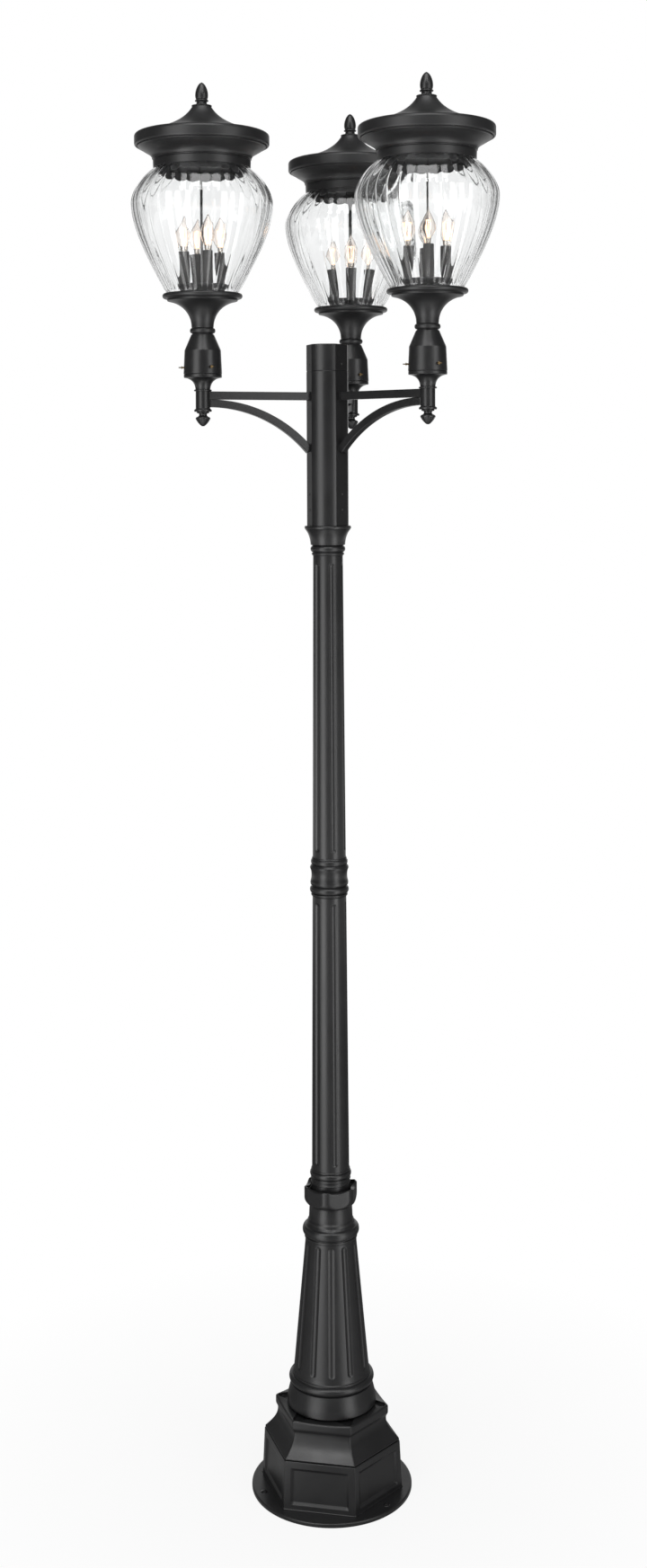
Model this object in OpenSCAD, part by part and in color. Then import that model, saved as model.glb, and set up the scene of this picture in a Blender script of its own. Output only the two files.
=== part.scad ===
// Outdoor post light: a fluted post on a hexagonal pedestal carries three arms, each with an urn lantern.
// Millimetres. The origin is the post's axis at the underside of the base plate, +Z is up, arm 1 is along +X.

/* [Base plate] */
// Rim of the plate outside the pedestal's corners
plate_rim = 19; // [10:1:60]
// Thickness of the plate
plate_t = 9; // [6:0.5:16]
// Distance of the anchor bolt holes from the pedestal's faces
anchor_gap = 20.5; // [14:0.5:24]
// Radius of an anchor bolt hole
anchor_hole_r = 5.5; // [4:0.5:8]
// Radius of the hole for the supply cable
cable_hole_r = 38; // [20:1:60]

/* [Pedestal] */
// Width of the pedestal box across its flats, at the foot
box_flats = 279; // [265:1:340]
// How much narrower the box is across its flats at the top
box_taper = 9; // [0:1:20]
// Height of the box
box_h = 103.5; // [80:0.5:140]
// Wall of the box and of the cornice
box_wall = 8; // [7:0.5:10]
// Depth of the recessed panels
panel_depth = 3.5; // [1:0.5:5]
// Width of a panel's bevelled edge
panel_bevel = 6; // [3:0.5:12]
// Plain border beside a panel
panel_side = 12; // [8:1:24]
// Plain border above a panel
panel_top = 14; // [8:1:24]
// Plain border below a panel
panel_foot = 11; // [6:1:24]
// Height of the cornice's hollow curve
cove_h = 53.5; // [40:0.5:80]
// Height of the cornice's upright band
fascia_h = 24; // [16:0.5:36]
// Width across the flats of the upright band
fascia_flats = 225; // [218:1:268]
// How far the band's top edge dips in the middle of a face
fascia_dip = 3; // [0.5:0.5:5]
// Depth of the star-shaped recess in the cornice
star_depth = 12; // [6:1:16]
// How far each arc of the recess comes in from its face
star_sag = 26; // [10:1:27]

/* [Column] */
// Radius of the skirt's rim
skirt_r = 100; // [92:1:106]
// Height of the skirt's rim above the cornice
skirt_lift = 6; // [3:0.5:12]
// Height of the skirt
skirt_h = 42; // [30:1:60]
// Radius of the neck that stands in the recess
column_neck_r = 80; // [70:1:84]
// Radius of the column above its foot moulding
column_foot_r = 84.5; // [76:0.5:90]
// Radius of the column below its head moulding
column_head_r = 57.5; // [52:0.5:70]
// Length of the tapered, fluted part
column_h = 291; // [200:1:400]
// Number of flutes on the column
column_flutes = 12; // [8:1:12]
// Angle of the column's first flute from arm 1
column_flute_turn = 12; // [0:1:30]
// Half width of a column flute
column_flute_half_w = 7.5; // [4:0.5:8]
// Wall of the column
column_wall = 8; // [6:0.5:12]
// Radius of the collar's seat at the top of the column
collar_seat_r = 48; // [44:0.5:56]
// Width of the crown collar across its flats
collar_flats = 112; // [108:1:115]
// Radius of the crown collar's rounded corners, from its axis
collar_r = 61.2; // [59:0.1:62]
// Height of the crown collar
collar_h = 44; // [36:1:60]
// How far the collar's top edge dips in the middle of a face
collar_dip = 4.5; // [0.5:0.5:6]

/* [Shafts] */
// Radius of the shaft's round foot
shaft_foot_r = 43.5; // [40:0.5:46]
// Radius of the lower shaft at its foot
shaft_low_r = 42; // [38:0.5:45]
// Radius of the lower shaft at its top
shaft_mid_r = 38.2; // [35:0.1:42]
// Radius of the upper shaft at its top
shaft_top_r = 33.7; // [31:0.1:38]
// Length of the lower shaft
low_shaft_h = 690; // [500:1:900]
// Length of the upper shaft
top_shaft_h = 680; // [500:1:900]
// Height of the coupling's collar between the shafts
coupling_h = 88; // [80:1:120]
// Wall of the shafts
shaft_wall = 7; // [6:0.5:10]
// Number of flutes on the shafts
shaft_flutes = 6; // [4:1:8]
// Angle of the shafts' first flute from arm 1
shaft_flute_turn = 26; // [0:1:60]
// Half width of a flute
flute_half_w = 7; // [4:0.5:8]
// Depth of a flute
flute_depth = 3; // [1:0.5:4]

/* [Hub] */
// Radius of the hub
hub_r = 47.2; // [44:0.1:52]
// Distance of the hub's flats from its axis
hub_flat = 43.2; // [42:0.1:48]
// Radius of the hub's bore
hub_bore_r = 37; // [32:0.5:38]
// Height of the hub
hub_h = 349; // [280:1:420]
// Height of the hub's cap
hub_cap_h = 60; // [40:1:80]
// Height of the capital
capital_h = 68; // [60:1:90]

/* [Arms] */
// Distance from the post's axis to a lantern's axis
arm_reach = 290; // [250:1:400]
// Height of the arm bar's centre below the hub's top
arm_drop = 57; // [40:1:80]
// Width of the square arm bar
bar_w = 18; // [14:1:24]
// Wall of the hollow arm bar
bar_wall = 3; // [2:0.5:4]
// Width of the square brace
brace_w = 17; // [12:1:20]
// Radius of the brace's centreline
brace_r = 307; // [290:1:420]
// Largest angle through which the brace bends before it meets the hub
brace_bend = 49; // [40:1:55]
// Radius of the upright tube at the end of an arm
tube_r = 16; // [14:0.5:20]
// Height of the fitter's foot above the arm bar's centre
fitter_lift = 47; // [44:1:60]
// Radius of the tenon that the lantern slips over
tenon_r = 38.1; // [36:0.1:42]
// Height of the tenon
tenon_h = 45; // [40:1:48]

/* [Lantern] */
// Wall of the fitter
fitter_wall = 3.9; // [3:0.1:6]
// Height of the fitter's round part
fitter_h = 53; // [52:1:60]
// Height of the fitter's shoulder
shoulder_h = 35; // [25:1:45]
// Height of the bell between the fitter and the glass
bell_h = 90; // [80:1:110]
// Radius of the glass at its foot
glass_foot_r = 80; // [70:1:90]
// Largest radius of the glass
glass_belly_r = 156.5; // [140:0.5:170]
// Radius of the glass at its neck
glass_neck_r = 104; // [96:1:112]
// Height of the glass below its widest place
glass_low_h = 197; // [160:1:240]
// Height of the glass above its widest place
glass_top_h = 77; // [60:1:100]
// Wall of the glass
glass_wall = 3.2; // [2.5:0.1:5]
// Radius of the cap's rim
cap_r = 149.4; // [140:0.1:170]
// Height of the cap's rim
cap_rim_h = 24; // [12:1:30]
// Height of the cap's hat above its rim
hat_h = 62; // [50:1:90]
// Wall of the cap
cap_wall = 2.2; // [1.5:0.1:3]
// Radius of the centre rod
rod_r = 3; // [3:0.5:5]

/* [Lamps] */
// Radius of the circle on which the four candles stand
candle_circle_r = 42.5; // [36:0.5:44]
// Angle of lantern 1's candles from its arm
candle_turn_1 = 42; // [0:1:89]
// Angle of lantern 2's candles from its arm
candle_turn_2 = 12; // [0:1:89]
// Angle of lantern 3's candles from its arm
candle_turn_3 = 2; // [0:1:89]
// Radius of a candle sleeve
candle_r = 11.8; // [11:0.1:13]
// Height of a candle sleeve
candle_h = 72; // [60:1:90]
// Radius of a bulb
bulb_r = 16; // [14:0.5:18]
// Height of a bulb above its sleeve
bulb_h = 79; // [60:1:85]
// Radius of the pan that carries the candles
pan_r = 58; // [56:1:64]
// Height of the pan above the ledge of the gallery
pan_h = 24; // [20:1:30]

/* [Clearances] */
// Gap at a seat between two pieces that come apart
seat_gap = 0.3; // [0.2:0.05:0.5]
// Radial gap between a spigot and its bore
spigot_gap = 0.3; // [0.2:0.05:0.5]
// Gap of a screw or a rod in its hole
thread_gap = 0.1; // [0.05:0.05:0.2]

/* [Hidden] */
$fn = 96;
arms = 3;
arm_step = 360 / arms;
far = 1000;
epsilon = 0.01;

// Heights of the post's joints
box_z = plate_t;
cornice_z = box_z + box_h;
cornice_top_z = cornice_z + cove_h + fascia_h;
column_z = cornice_top_z - star_depth;
rim_z = cornice_top_z + skirt_lift;
torus_h = 29;
head_moulding_h = 45;
column_neck_h = 31;
column_top_z = rim_z + skirt_h + torus_h + column_h + head_moulding_h + column_neck_h;
collar_floor = 6;
low_shaft_z = column_top_z + collar_floor;
coupling_z = low_shaft_z + low_shaft_h;
top_shaft_z = coupling_z + coupling_h;
capital_z = top_shaft_z + top_shaft_h;
hub_z = capital_z + capital_h;
hub_cap_z = hub_z + hub_h;
arm_z = hub_cap_z - arm_drop;
head_z = arm_z + fitter_lift;

// Radii that follow from the driving sizes
box_corner_r = box_flats / 2 / cos(30);
plate_r = box_corner_r + plate_rim;
anchor_circle_r = box_flats / 2 + anchor_gap;
shaft_split_r = shaft_mid_r - 0.7;
low_bore_r = shaft_mid_r - shaft_wall;
top_bore_low_r = shaft_split_r - shaft_wall;
top_bore_r = shaft_top_r - shaft_wall;
foot_spigot_r = 33;
foot_spigot_h = 30;
foot_bore_r = 27;
coupling_spigot_h = 40;
coupling_bore_r = 22;
capital_spigot_h = 30;
capital_bore_r = 19;
hub_spigot_h = 82;
cap_neck_r = 40;
cap_neck_h = 30;

// Heights inside a lantern, above the fitter's foot
bell_z = fitter_h + shoulder_h;
bell_bead_h = 16;
ledge_z = bell_z + bell_h - 4.3;
ring_top_z = bell_z + bell_h;
web_t = 3.2;
glass_z = ledge_z + seat_gap;
glass_foot_h = 6;
belly_z = glass_z + glass_foot_h + glass_low_h;
glass_top_z = belly_z + glass_top_h + 8;
neck_lap = 8;
cap_z = glass_top_z - neck_lap;
cap_plate_z = glass_top_z + seat_gap;
cap_plate_t = 2.5;
band_h = 20;
cove_z = cap_z + band_h + 1;
cap_cove_h = 28;
cap_rim_z = cove_z + cap_cove_h + 3;
cap_top_z = cap_rim_z + cap_rim_h;
hat_top_z = cap_top_z + hat_h;
finial_z = hat_top_z + 3 + seat_gap;
hat_lip_r = 22.5;
pan_top_z = ledge_z + pan_h;
candle_top_z = pan_top_z + candle_h;
socket_z = pan_top_z + 34;
bulb_foot_z = socket_z + 14;
bulb_tip_z = candle_top_z + bulb_h;
rod_foot_z = 72;
rod_top_z = finial_z + 13;
candle_turns = [candle_turn_1, candle_turn_2, candle_turn_3];
candle_wall = 1.2;
wire_r = 3.5;

post_nodes = [
    "base_plate", "pedestal_box", "pedestal_cornice", "base_column", "crown_collar", "lower_shaft",
    "shaft_coupling", "upper_shaft", "capital", "hub", "hub_cap", "hub_screws", "hub_cap_screws",
    "supply_wires"
];
arm_nodes = ["arm_bar", "arm_brace", "arm_tube", "drop_finial"];
lantern_nodes = [
    "fitter", "set_screws", "gallery", "rod", "lamp_pan", "candle_sleeves", "sockets", "bulbs", "glass",
    "cap", "finial"
];

// Outlines: lists of [radius, height], from the bottom up

// Half-round bead on a wall of radius r, from z - h to z + h, standing out by out
function bead(r, z, out, h, n = 10) = [
    for (i = [0:n])
        let(a = 180 * i / n - 90)
        [r + out * cos(a), z + h * sin(a)]
];

// The same outline moved out by r and up by z
function moved(line, r, z) = [for (p = line) p + [r, z]];

// Cubic curve from a to d that leaves a towards b and comes to d from c
function curve(a, b, c, d, n = 14) = [
    for (i = [0:n])
        let(t = i / n, s = 1 - t)
        s * s * s * a + 3 * s * s * t * b + 3 * s * t * t * c + t * t * t * d
];

// The same outline moved to its left by wall, which is inwards on the way up
function inset(line, wall) = [
    for (i = [0:len(line) - 1])
        let(
            along = line[min(i + 1, len(line) - 1)] - line[max(i - 1, 0)],
            left = [-along[1], along[0]] / norm(along)
        )
        line[i] + wall * left
];

function reversed(line) = [for (i = [len(line) - 1:-1:0]) line[i]];
function mirrored(line) = [for (p = line) [-p[0], p[1]]];

// Shapes

module lathe(points) {
    rotate_extrude() polygon(points);
}

// Body with six equal faces, whose half width over its height is the outline. Its corners are at 30 degrees.
module hexagonal(outline) {
    intersection_for (k = [0:2])
        rotate([90, 0, 60 * k])
            linear_extrude(far, center = true)
                polygon(concat(outline, reversed(mirrored(outline))));
}

module hexagonal_prism(flats, low, high) {
    hexagonal([[flats / 2, low], [flats / 2, high]]);
}

// Round-ended bar from the origin up, turned from its outline
module round_ended_bar(length, r) {
    n = 8;
    lathe(concat(
        [for (i = [0:n]) r * [sin(90 * i / n), -cos(90 * i / n)]],
        [for (i = [0:n]) [0, length] + r * [cos(90 * i / n), sin(90 * i / n)]]
    ));
}

// Cutters of round-ended flutes along a cone from radius r0 at z0 to radius r1 at z1.
// The first is at the angle first.
module flutes(count, first, r0, z0, r1, z1, half_w, depth) {
    cut_r = (half_w * half_w + depth * depth) / 2 / depth;
    lean = atan2(r0 - r1, z1 - z0);
    for (i = [0:count - 1])
        rotate([0, 0, first + i * 360 / count])
            translate([r0 + cut_r - depth, 0, z0])
                rotate([0, -lean, 0])
                    round_ended_bar(norm([r0 - r1, z1 - z0]), cut_r);
}

// Star-shaped recess from z up: its tips point at the corners, and an arc comes in by sag from each face
module star(flats, edge, sag, notch, z) {
    half_chord = flats / 2 * tan(30) - notch;
    beyond = (half_chord * half_chord - sag * sag) / 2 / sag;
    difference() {
        hexagonal_prism(flats - 2 * edge, z, z + far);
        for (k = [0:5])
            rotate([0, 0, 60 * k])
                translate([flats / 2 + beyond, 0, z - epsilon])
                    cylinder(h = far + 1, r = beyond + sag);
    }
}

// Screw along +X from x0 to x1, with a round head
module cross_screw(x0, x1, r, head_r, head_t) {
    rotate([0, 90, 0]) {
        translate([0, 0, x0]) cylinder(h = x1 - x0, r = r);
        translate([0, 0, x1]) cylinder(h = head_t, r = head_r);
    }
}

module cross_hole(x0, x1, z, r) {
    translate([x0, 0, z]) rotate([0, 90, 0]) cylinder(h = x1 - x0, r = r);
}

// Cutter of a shallow dip by sag in a top edge, on the face at +X, along x from x0 to x1
module edge_dip(x0, x1, half_chord, top, sag) {
    r = (half_chord * half_chord + sag * sag) / 2 / sag;
    cross_hole(x0, x1, top + r - sag, r);
}

module round_arms() {
    for (i = [0:arms - 1]) rotate([0, 0, i * arm_step]) children();
}

module at_arm(i) {
    rotate([0, 0, (i - 1) * arm_step]) children();
}

module at_lantern(i) {
    at_arm(i) translate([arm_reach, 0, head_z]) children();
}

// Post

module base_plate() {
    edge = 2;
    color("#262626")
        difference() {
            lathe([
                [cable_hole_r, 0], [plate_r - edge / 2, 0], [plate_r, edge / 2], [plate_r, plate_t - edge],
                [plate_r - edge, plate_t], [cable_hole_r, plate_t]
            ]);
            round_arms() translate([anchor_circle_r, 0, -1]) cylinder(h = plate_t + 2, r = anchor_hole_r);
        }
}

// Bevelled cutter of one panel, on the face at +X: two tapered prisms meet in it
module panel_cutter() {
    lean = atan2(box_taper / 2, box_h);
    half_w = (box_flats - box_taper) / 2 * tan(30) - panel_side;
    low = panel_foot;
    high = box_h - panel_top;
    out = 5;
    bevel = panel_bevel;
    slope = bevel / panel_depth;
    translate([box_flats / 2, 0, 0])
        rotate([0, -lean, 0])
            intersection() {
                linear_extrude(box_h)
                    polygon([
                        [-panel_depth, bevel - half_w], [-panel_depth, half_w - bevel],
                        [out, half_w + slope * out], [out, -half_w - slope * out]
                    ]);
                rotate([90, 0, 0])
                    linear_extrude(far, center = true)
                        polygon([
                            [-panel_depth, low + bevel], [-panel_depth, high - bevel],
                            [out, high + slope * out], [out, low - slope * out]
                        ]);
            }
}

module pedestal_box() {
    foot = box_flats / 2;
    head = foot - box_taper / 2;
    edge = 1.5;
    color("#2a2a2a")
        translate([0, 0, box_z])
            difference() {
                hexagonal([
                    [foot, 0], [foot, edge], [foot - edge / 2, 2 * edge],
                    [head, box_h - edge], [head - edge, box_h]
                ]);
                hexagonal([[foot - box_wall, -1], [head - box_wall, box_h + 1]]);
                for (k = [0:5]) rotate([0, 0, 60 * k]) panel_cutter();
            }
}

module pedestal_cornice() {
    foot = (box_flats - box_taper) / 2 - 1;
    band = fascia_flats / 2;
    step = 4;
    cove_top = band - step;
    groove = 3;
    lip_h = 8;
    edge = 3;
    spigot = (box_flats - box_taper) / 2 - box_wall - spigot_gap - 0.5;
    top = cove_h + fascia_h;
    floor_t = 6;
    color("#2a2a2a")
        translate([0, 0, cornice_z])
            difference() {
                union() {
                    hexagonal(concat(
                        [[foot - groove, 0], [foot - groove, 2], [foot, 2]],
                        curve([foot, 4], [foot - 9, 14], [cove_top, cove_h - 22], [cove_top, cove_h - 1], 10),
                        [for (a = [-60:30:0]) [band, cove_h + step] + step * [cos(a) - 1, sin(a)]],
                        [for (a = [0:30:90]) [band, top - edge] + edge * [cos(a) - 1, sin(a)]]
                    ));
                    hexagonal([[spigot, -lip_h], [spigot, 1]]);
                }
                hexagonal([
                    [spigot - 6, -lip_h - 1], [spigot - 6, 1], [cove_top - box_wall, cove_h - 17],
                    [cove_top - box_wall, top - star_depth - floor_t]
                ]);
                star(fascia_flats, 0, star_sag, 7, top - 2);
                star(fascia_flats, 6, star_sag, 7, top - star_depth);
                for (k = [0:5])
                    rotate([0, 0, 60 * k])
                        edge_dip(column_neck_r, band + 1, band * tan(30) - step, top, fascia_dip);
                cylinder(h = top, r = column_neck_r - column_wall + 1);
            }
}

module base_column() {
    foot = skirt_lift + star_depth;
    torus_z = foot + skirt_h + 9;
    shaft_z = foot + skirt_h + torus_h;
    head_z0 = shaft_z + column_h;
    neck_z = head_z0 + head_moulding_h;
    top = neck_z + column_neck_h;
    neck_foot_r = collar_seat_r + 1.5;
    flute_low = 14.5;
    flute_high = column_h - 11.5;
    outer = concat(
        [
            [column_neck_r, 0], [column_neck_r, foot], [skirt_r - 1.5, foot], [skirt_r, foot + 1.5],
            [skirt_r - 0.6, foot + 6]
        ],
        curve(
            [skirt_r - 1.5, foot + 12], [skirt_r - 4, foot + 22],
            [skirt_r - 7, foot + 32], [skirt_r - 8, foot + skirt_h - 2], 6
        ),
        bead(column_foot_r + 3, torus_z, skirt_r - column_foot_r - 7.5, 8.5, 12),
        moved([[3.5, 10], [3.5, 13], [1.5, 14.5]], column_foot_r, torus_z),
        [[column_foot_r, shaft_z], [column_head_r, head_z0]],
        bead(column_head_r, head_z0 + 5, 2, 3, 6),
        bead(column_head_r, head_z0 + 20, 6.3, 10.5, 12),
        moved([[-2, 32], [-5, 36], [-5.5, 41]], column_head_r, head_z0),
        [[neck_foot_r, neck_z], [collar_seat_r, top]]
    );
    color("#272727")
        translate([0, 0, column_z])
            difference() {
                lathe(concat(outer, [
                    [collar_seat_r - column_wall, top], [collar_seat_r - column_wall, neck_z],
                    [column_head_r - column_wall, head_z0], [column_foot_r - column_wall, shaft_z],
                    [column_neck_r - column_wall, foot], [column_neck_r - column_wall, 0]
                ]));
                flutes(
                    column_flutes, column_flute_turn, column_r(flute_low), shaft_z + flute_low,
                    column_r(flute_high), shaft_z + flute_high, column_flute_half_w, flute_depth
                );
            }
}

// Radius of the tapered column at height h above its foot
function column_r(h) = column_foot_r + (column_head_r - column_foot_r) * h / column_h;

module crown_collar() {
    bowl_h = 20;
    edge = 2.5;
    recess = 9;
    arc_sag = 9.5;
    tip_wall = 2.3;
    rim_w = collar_flats / 2 - (collar_r - tip_wall) * cos(30);
    notch = 5;
    half_chord = sqrt(collar_r * collar_r - collar_flats * collar_flats / 4);
    color("#272727")
        translate([0, 0, column_top_z])
            difference() {
                intersection() {
                    lathe(concat(
                        [[0, 0], [collar_seat_r, 0]],
                        curve(
                            [collar_seat_r + 1, 0.6], [collar_r - 4, 6],
                            [collar_r - 0.5, 12], [collar_r, bowl_h], 8
                        ),
                        [for (a = [0:30:90]) [collar_r, collar_h - edge] + edge * [cos(a) - 1, sin(a)]],
                        [[0, collar_h]]
                    ));
                    rotate([0, 0, 30]) hexagonal_prism(collar_flats, -1, collar_h + 1);
                }
                rotate([0, 0, 30]) star(collar_flats, rim_w, arc_sag, notch, collar_h - recess);
                for (k = [0:5])
                    rotate([0, 0, 30 + 60 * k])
                        edge_dip(shaft_foot_r, collar_r + 1, half_chord, collar_h, collar_dip);
                translate([0, 0, collar_floor]) cylinder(h = collar_h, r = shaft_foot_r + spigot_gap);
                translate([0, 0, -1]) cylinder(h = collar_h, r = foot_spigot_r + spigot_gap);
            }
}

module lower_shaft() {
    shaft_z = 77;
    foot_h = 56;
    color("#272727")
        translate([0, 0, low_shaft_z])
            difference() {
                lathe(concat(
                    [[foot_bore_r, -foot_spigot_h], [foot_spigot_r, -foot_spigot_h], [foot_spigot_r, 0]],
                    moved([[0, 0], [0, 43], [0.8, 44], [0.8, 46], [0, 47]], shaft_foot_r, 0),
                    bead(shaft_foot_r, 53.5, 1.4, 2.5, 6),
                    [[shaft_low_r + 1, foot_h + 1.5]],
                    bead(shaft_low_r + 0.3, 64.5, 4.2, 6.5, 12),
                    bead(shaft_low_r, 73.5, 2, 2.5, 6),
                    [[shaft_low_r, shaft_z], [shaft_mid_r, low_shaft_h]],
                    [[low_bore_r, low_shaft_h], [low_bore_r, low_shaft_h - coupling_spigot_h - 5]],
                    [[shaft_low_r - shaft_wall, shaft_z], [foot_bore_r, foot_h]]
                ));
                flutes(
                    shaft_flutes, shaft_flute_turn, shaft_low_r, shaft_z + 19,
                    shaft_mid_r, low_shaft_h - 19.5, flute_half_w, flute_depth
                );
            }
}

module shaft_coupling() {
    low = shaft_mid_r;
    high = shaft_split_r;
    top = coupling_h;
    low_spigot_r = low_bore_r - spigot_gap;
    high_spigot_r = top_bore_low_r - spigot_gap;
    color("#272727")
        translate([0, 0, coupling_z])
            lathe(concat(
                [[coupling_bore_r, -coupling_spigot_h], [low_spigot_r, -coupling_spigot_h]],
                [[low_spigot_r, 0], [low + 1, 0]],
                bead(low, 4, 3.1, 3.5, 8),
                bead(low + 0.4, 15, 5.4, 7.3, 10),
                [[low + 1, 23.5]],
                [for (a = [-90:20:10]) [low + 1.6 + 3.1 * cos(a), 31 + 6.5 * sin(a)]],
                curve([low + 4, 35], [low + 1.6, 41], [low + 1.6, 56], [high + 5.2, 61], 8),
                [[high + 6.2, 64], [high + 5.4, 67], [high + 2.4, 71]],
                bead(high + 1, 77.6, 3.1, 6, 8),
                moved([[2, 84.5], [1.6, 86], [0.6, top]], high, 0),
                [[high_spigot_r, top], [high_spigot_r, top + coupling_spigot_h]],
                [[coupling_bore_r, top + coupling_spigot_h]]
            ));
}

module upper_shaft() {
    color("#272727")
        translate([0, 0, top_shaft_z])
            difference() {
                lathe([
                    [top_bore_low_r, 0], [shaft_split_r, 0], [shaft_top_r, top_shaft_h],
                    [top_bore_r, top_shaft_h], [top_bore_r, top_shaft_h - capital_spigot_h - 5],
                    [top_bore_low_r, coupling_spigot_h + 5]
                ]);
                flutes(
                    shaft_flutes, shaft_flute_turn, shaft_split_r, 21.5,
                    shaft_top_r, top_shaft_h - 23.5, flute_half_w, flute_depth
                );
            }
}

module capital() {
    top = capital_h;
    lip_r = hub_r + seat_gap;
    color("#272727")
        translate([0, 0, capital_z])
            lathe(concat(
                [[capital_bore_r, -capital_spigot_h], [top_bore_r - spigot_gap, -capital_spigot_h]],
                [[top_bore_r - spigot_gap, 0], [shaft_top_r + 0.8, 0]],
                bead(shaft_top_r + 0.5, 4.5, 2.7, 3, 6),
                bead(shaft_top_r + 0.5, 15.5, 5.2, 7, 12),
                [[shaft_top_r + 2.5, 24], [shaft_top_r + 5.2, 25]],
                curve(
                    [shaft_top_r + 5.5, 26], [shaft_top_r + 6.1, 38],
                    [shaft_top_r + 9.9, 51], [hub_r + 4, top - 8], 10
                ),
                bead(hub_r + 2.8, top - 4, 2.9, 4, 10),
                [[lip_r, top], [hub_bore_r - spigot_gap, top]],
                [[hub_bore_r - spigot_gap, top + hub_spigot_h], [hub_bore_r - 6, top + hub_spigot_h]],
                [[hub_bore_r - 6, top - 4], [capital_bore_r, top - 14]]
            ));
}

// Outline of the hub seen from above: round, with a flat for each arm
module hub_outline(grow = 0) {
    difference() {
        circle(hub_r + grow);
        for (i = [0:arms - 1])
            rotate(i * arm_step) translate([hub_flat + grow, -hub_r]) square([hub_r, 2 * hub_r]);
    }
}

hub_screw_r = 2.5;
hub_screw_heights = [36, 71];
hub_cap_screw_z = 15;

module hub() {
    chamfer = 0.6;
    color("#2a2a2a")
        translate([0, 0, hub_z])
            difference() {
                union() {
                    linear_extrude(hub_h - chamfer) hub_outline();
                    linear_extrude(hub_h) hub_outline(-chamfer);
                    translate([0, 0, hub_h - 1]) cylinder(h = cap_neck_h + 1, r = cap_neck_r);
                }
                translate([0, 0, -1]) cylinder(h = hub_h + cap_neck_h + 2, r = hub_bore_r);
                round_arms() {
                    for (z = hub_screw_heights)
                        cross_hole(hub_bore_r - 3, hub_r + 1, z, hub_screw_r + thread_gap);
                    cross_hole(hub_bore_r - 3, hub_r + 1, arm_z - hub_z - wire_drop(), wire_r + 1);
                }
            }
}

module hub_cap() {
    top_t = 4;
    chamfer = 1;
    color("#2a2a2a")
        translate([0, 0, hub_cap_z])
            difference() {
                union() {
                    linear_extrude(hub_cap_h - chamfer) hub_outline();
                    linear_extrude(hub_cap_h) hub_outline(-chamfer);
                }
                translate([0, 0, -1]) cylinder(h = hub_cap_h - top_t + 1, r = cap_neck_r + spigot_gap);
                round_arms()
                    cross_hole(cap_neck_r - 3, hub_r + 1, hub_cap_screw_z, hub_screw_r + thread_gap);
            }
}

module hub_screws() {
    color("#8a8a86")
        round_arms()
            for (z = hub_screw_heights)
                translate([0, 0, hub_z + z])
                    cross_screw(hub_bore_r - spigot_gap + seat_gap, hub_flat + 0.6, hub_screw_r, 1.6, 0.3);
}

module hub_cap_screws() {
    color("#8a8a86")
        round_arms()
            translate([0, 0, hub_cap_z + hub_cap_screw_z])
                cross_screw(cap_neck_r + seat_gap, hub_flat + 0.6, hub_screw_r, 1.6, 0.3);
}

// How far the wire lies below the middle of the arm bar, on the bar's inner floor
function wire_drop() = bar_w / 2 - bar_wall - wire_r - seat_gap;

// Supply cable up the post and a lead through each arm to its tenon
module supply_wires() {
    trunk_r = 5;
    trunk_z = plate_t + 2;
    lead_z = arm_z - wire_drop();
    color("#5a5a58") {
        translate([0, 0, trunk_z]) cylinder(h = lead_z - trunk_z + wire_r, r = trunk_r);
        round_arms() {
            cross_hole(0, arm_reach + wire_r, lead_z, wire_r);
            translate([arm_reach, 0, lead_z]) cylinder(h = head_z + 20 - lead_z, r = wire_r);
        }
    }
}

// Arms

tube_collar_r = 19.6;
tube_low_z = -83;
tube_bore_r = 11;
cope_gap = 0.1;

module arm_bar() {
    lift = -fitter_lift;
    color("#2b2b2b")
        difference() {
            translate([hub_flat - arm_reach, -bar_w / 2, lift - bar_w / 2])
                cube([arm_reach - hub_flat, bar_w, bar_w]);
            translate([hub_flat - arm_reach - 1, bar_wall - bar_w / 2, lift + bar_wall - bar_w / 2])
                cube([arm_reach, bar_w - 2 * bar_wall, bar_w - 2 * bar_wall]);
            translate([0, 0, lift - bar_w]) cylinder(h = 2 * bar_w, r = tube_r + cope_gap);
        }
}

// Square bar, level under the arm bar at the tube, and bent along an arc down to the hub's flat
module arm_brace() {
    top = -fitter_lift - bar_w / 2 - brace_w / 2;
    start = -tube_r;
    reach = arm_reach - tube_r - hub_flat;
    level_run = max(0, reach - brace_r * sin(brace_bend));
    sweep = asin((reach - level_run + brace_w) / brace_r);
    color("#2b2b2b")
        difference() {
            union() {
                translate([start - level_run, 0, top - brace_r])
                    rotate([90, -90, 0])
                        rotate_extrude(angle = sweep)
                            translate([brace_r, 0]) square(brace_w, center = true);
                translate([start - level_run - epsilon, -brace_w / 2, top - brace_w / 2])
                    cube([tube_r + level_run, brace_w, brace_w]);
            }
            translate([-arm_reach - far + hub_flat, -far / 2, -far]) cube([far, far, far]);
            translate([0, 0, top - brace_w]) cylinder(h = 2 * brace_w, r = tube_r + cope_gap);
        }
}

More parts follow.
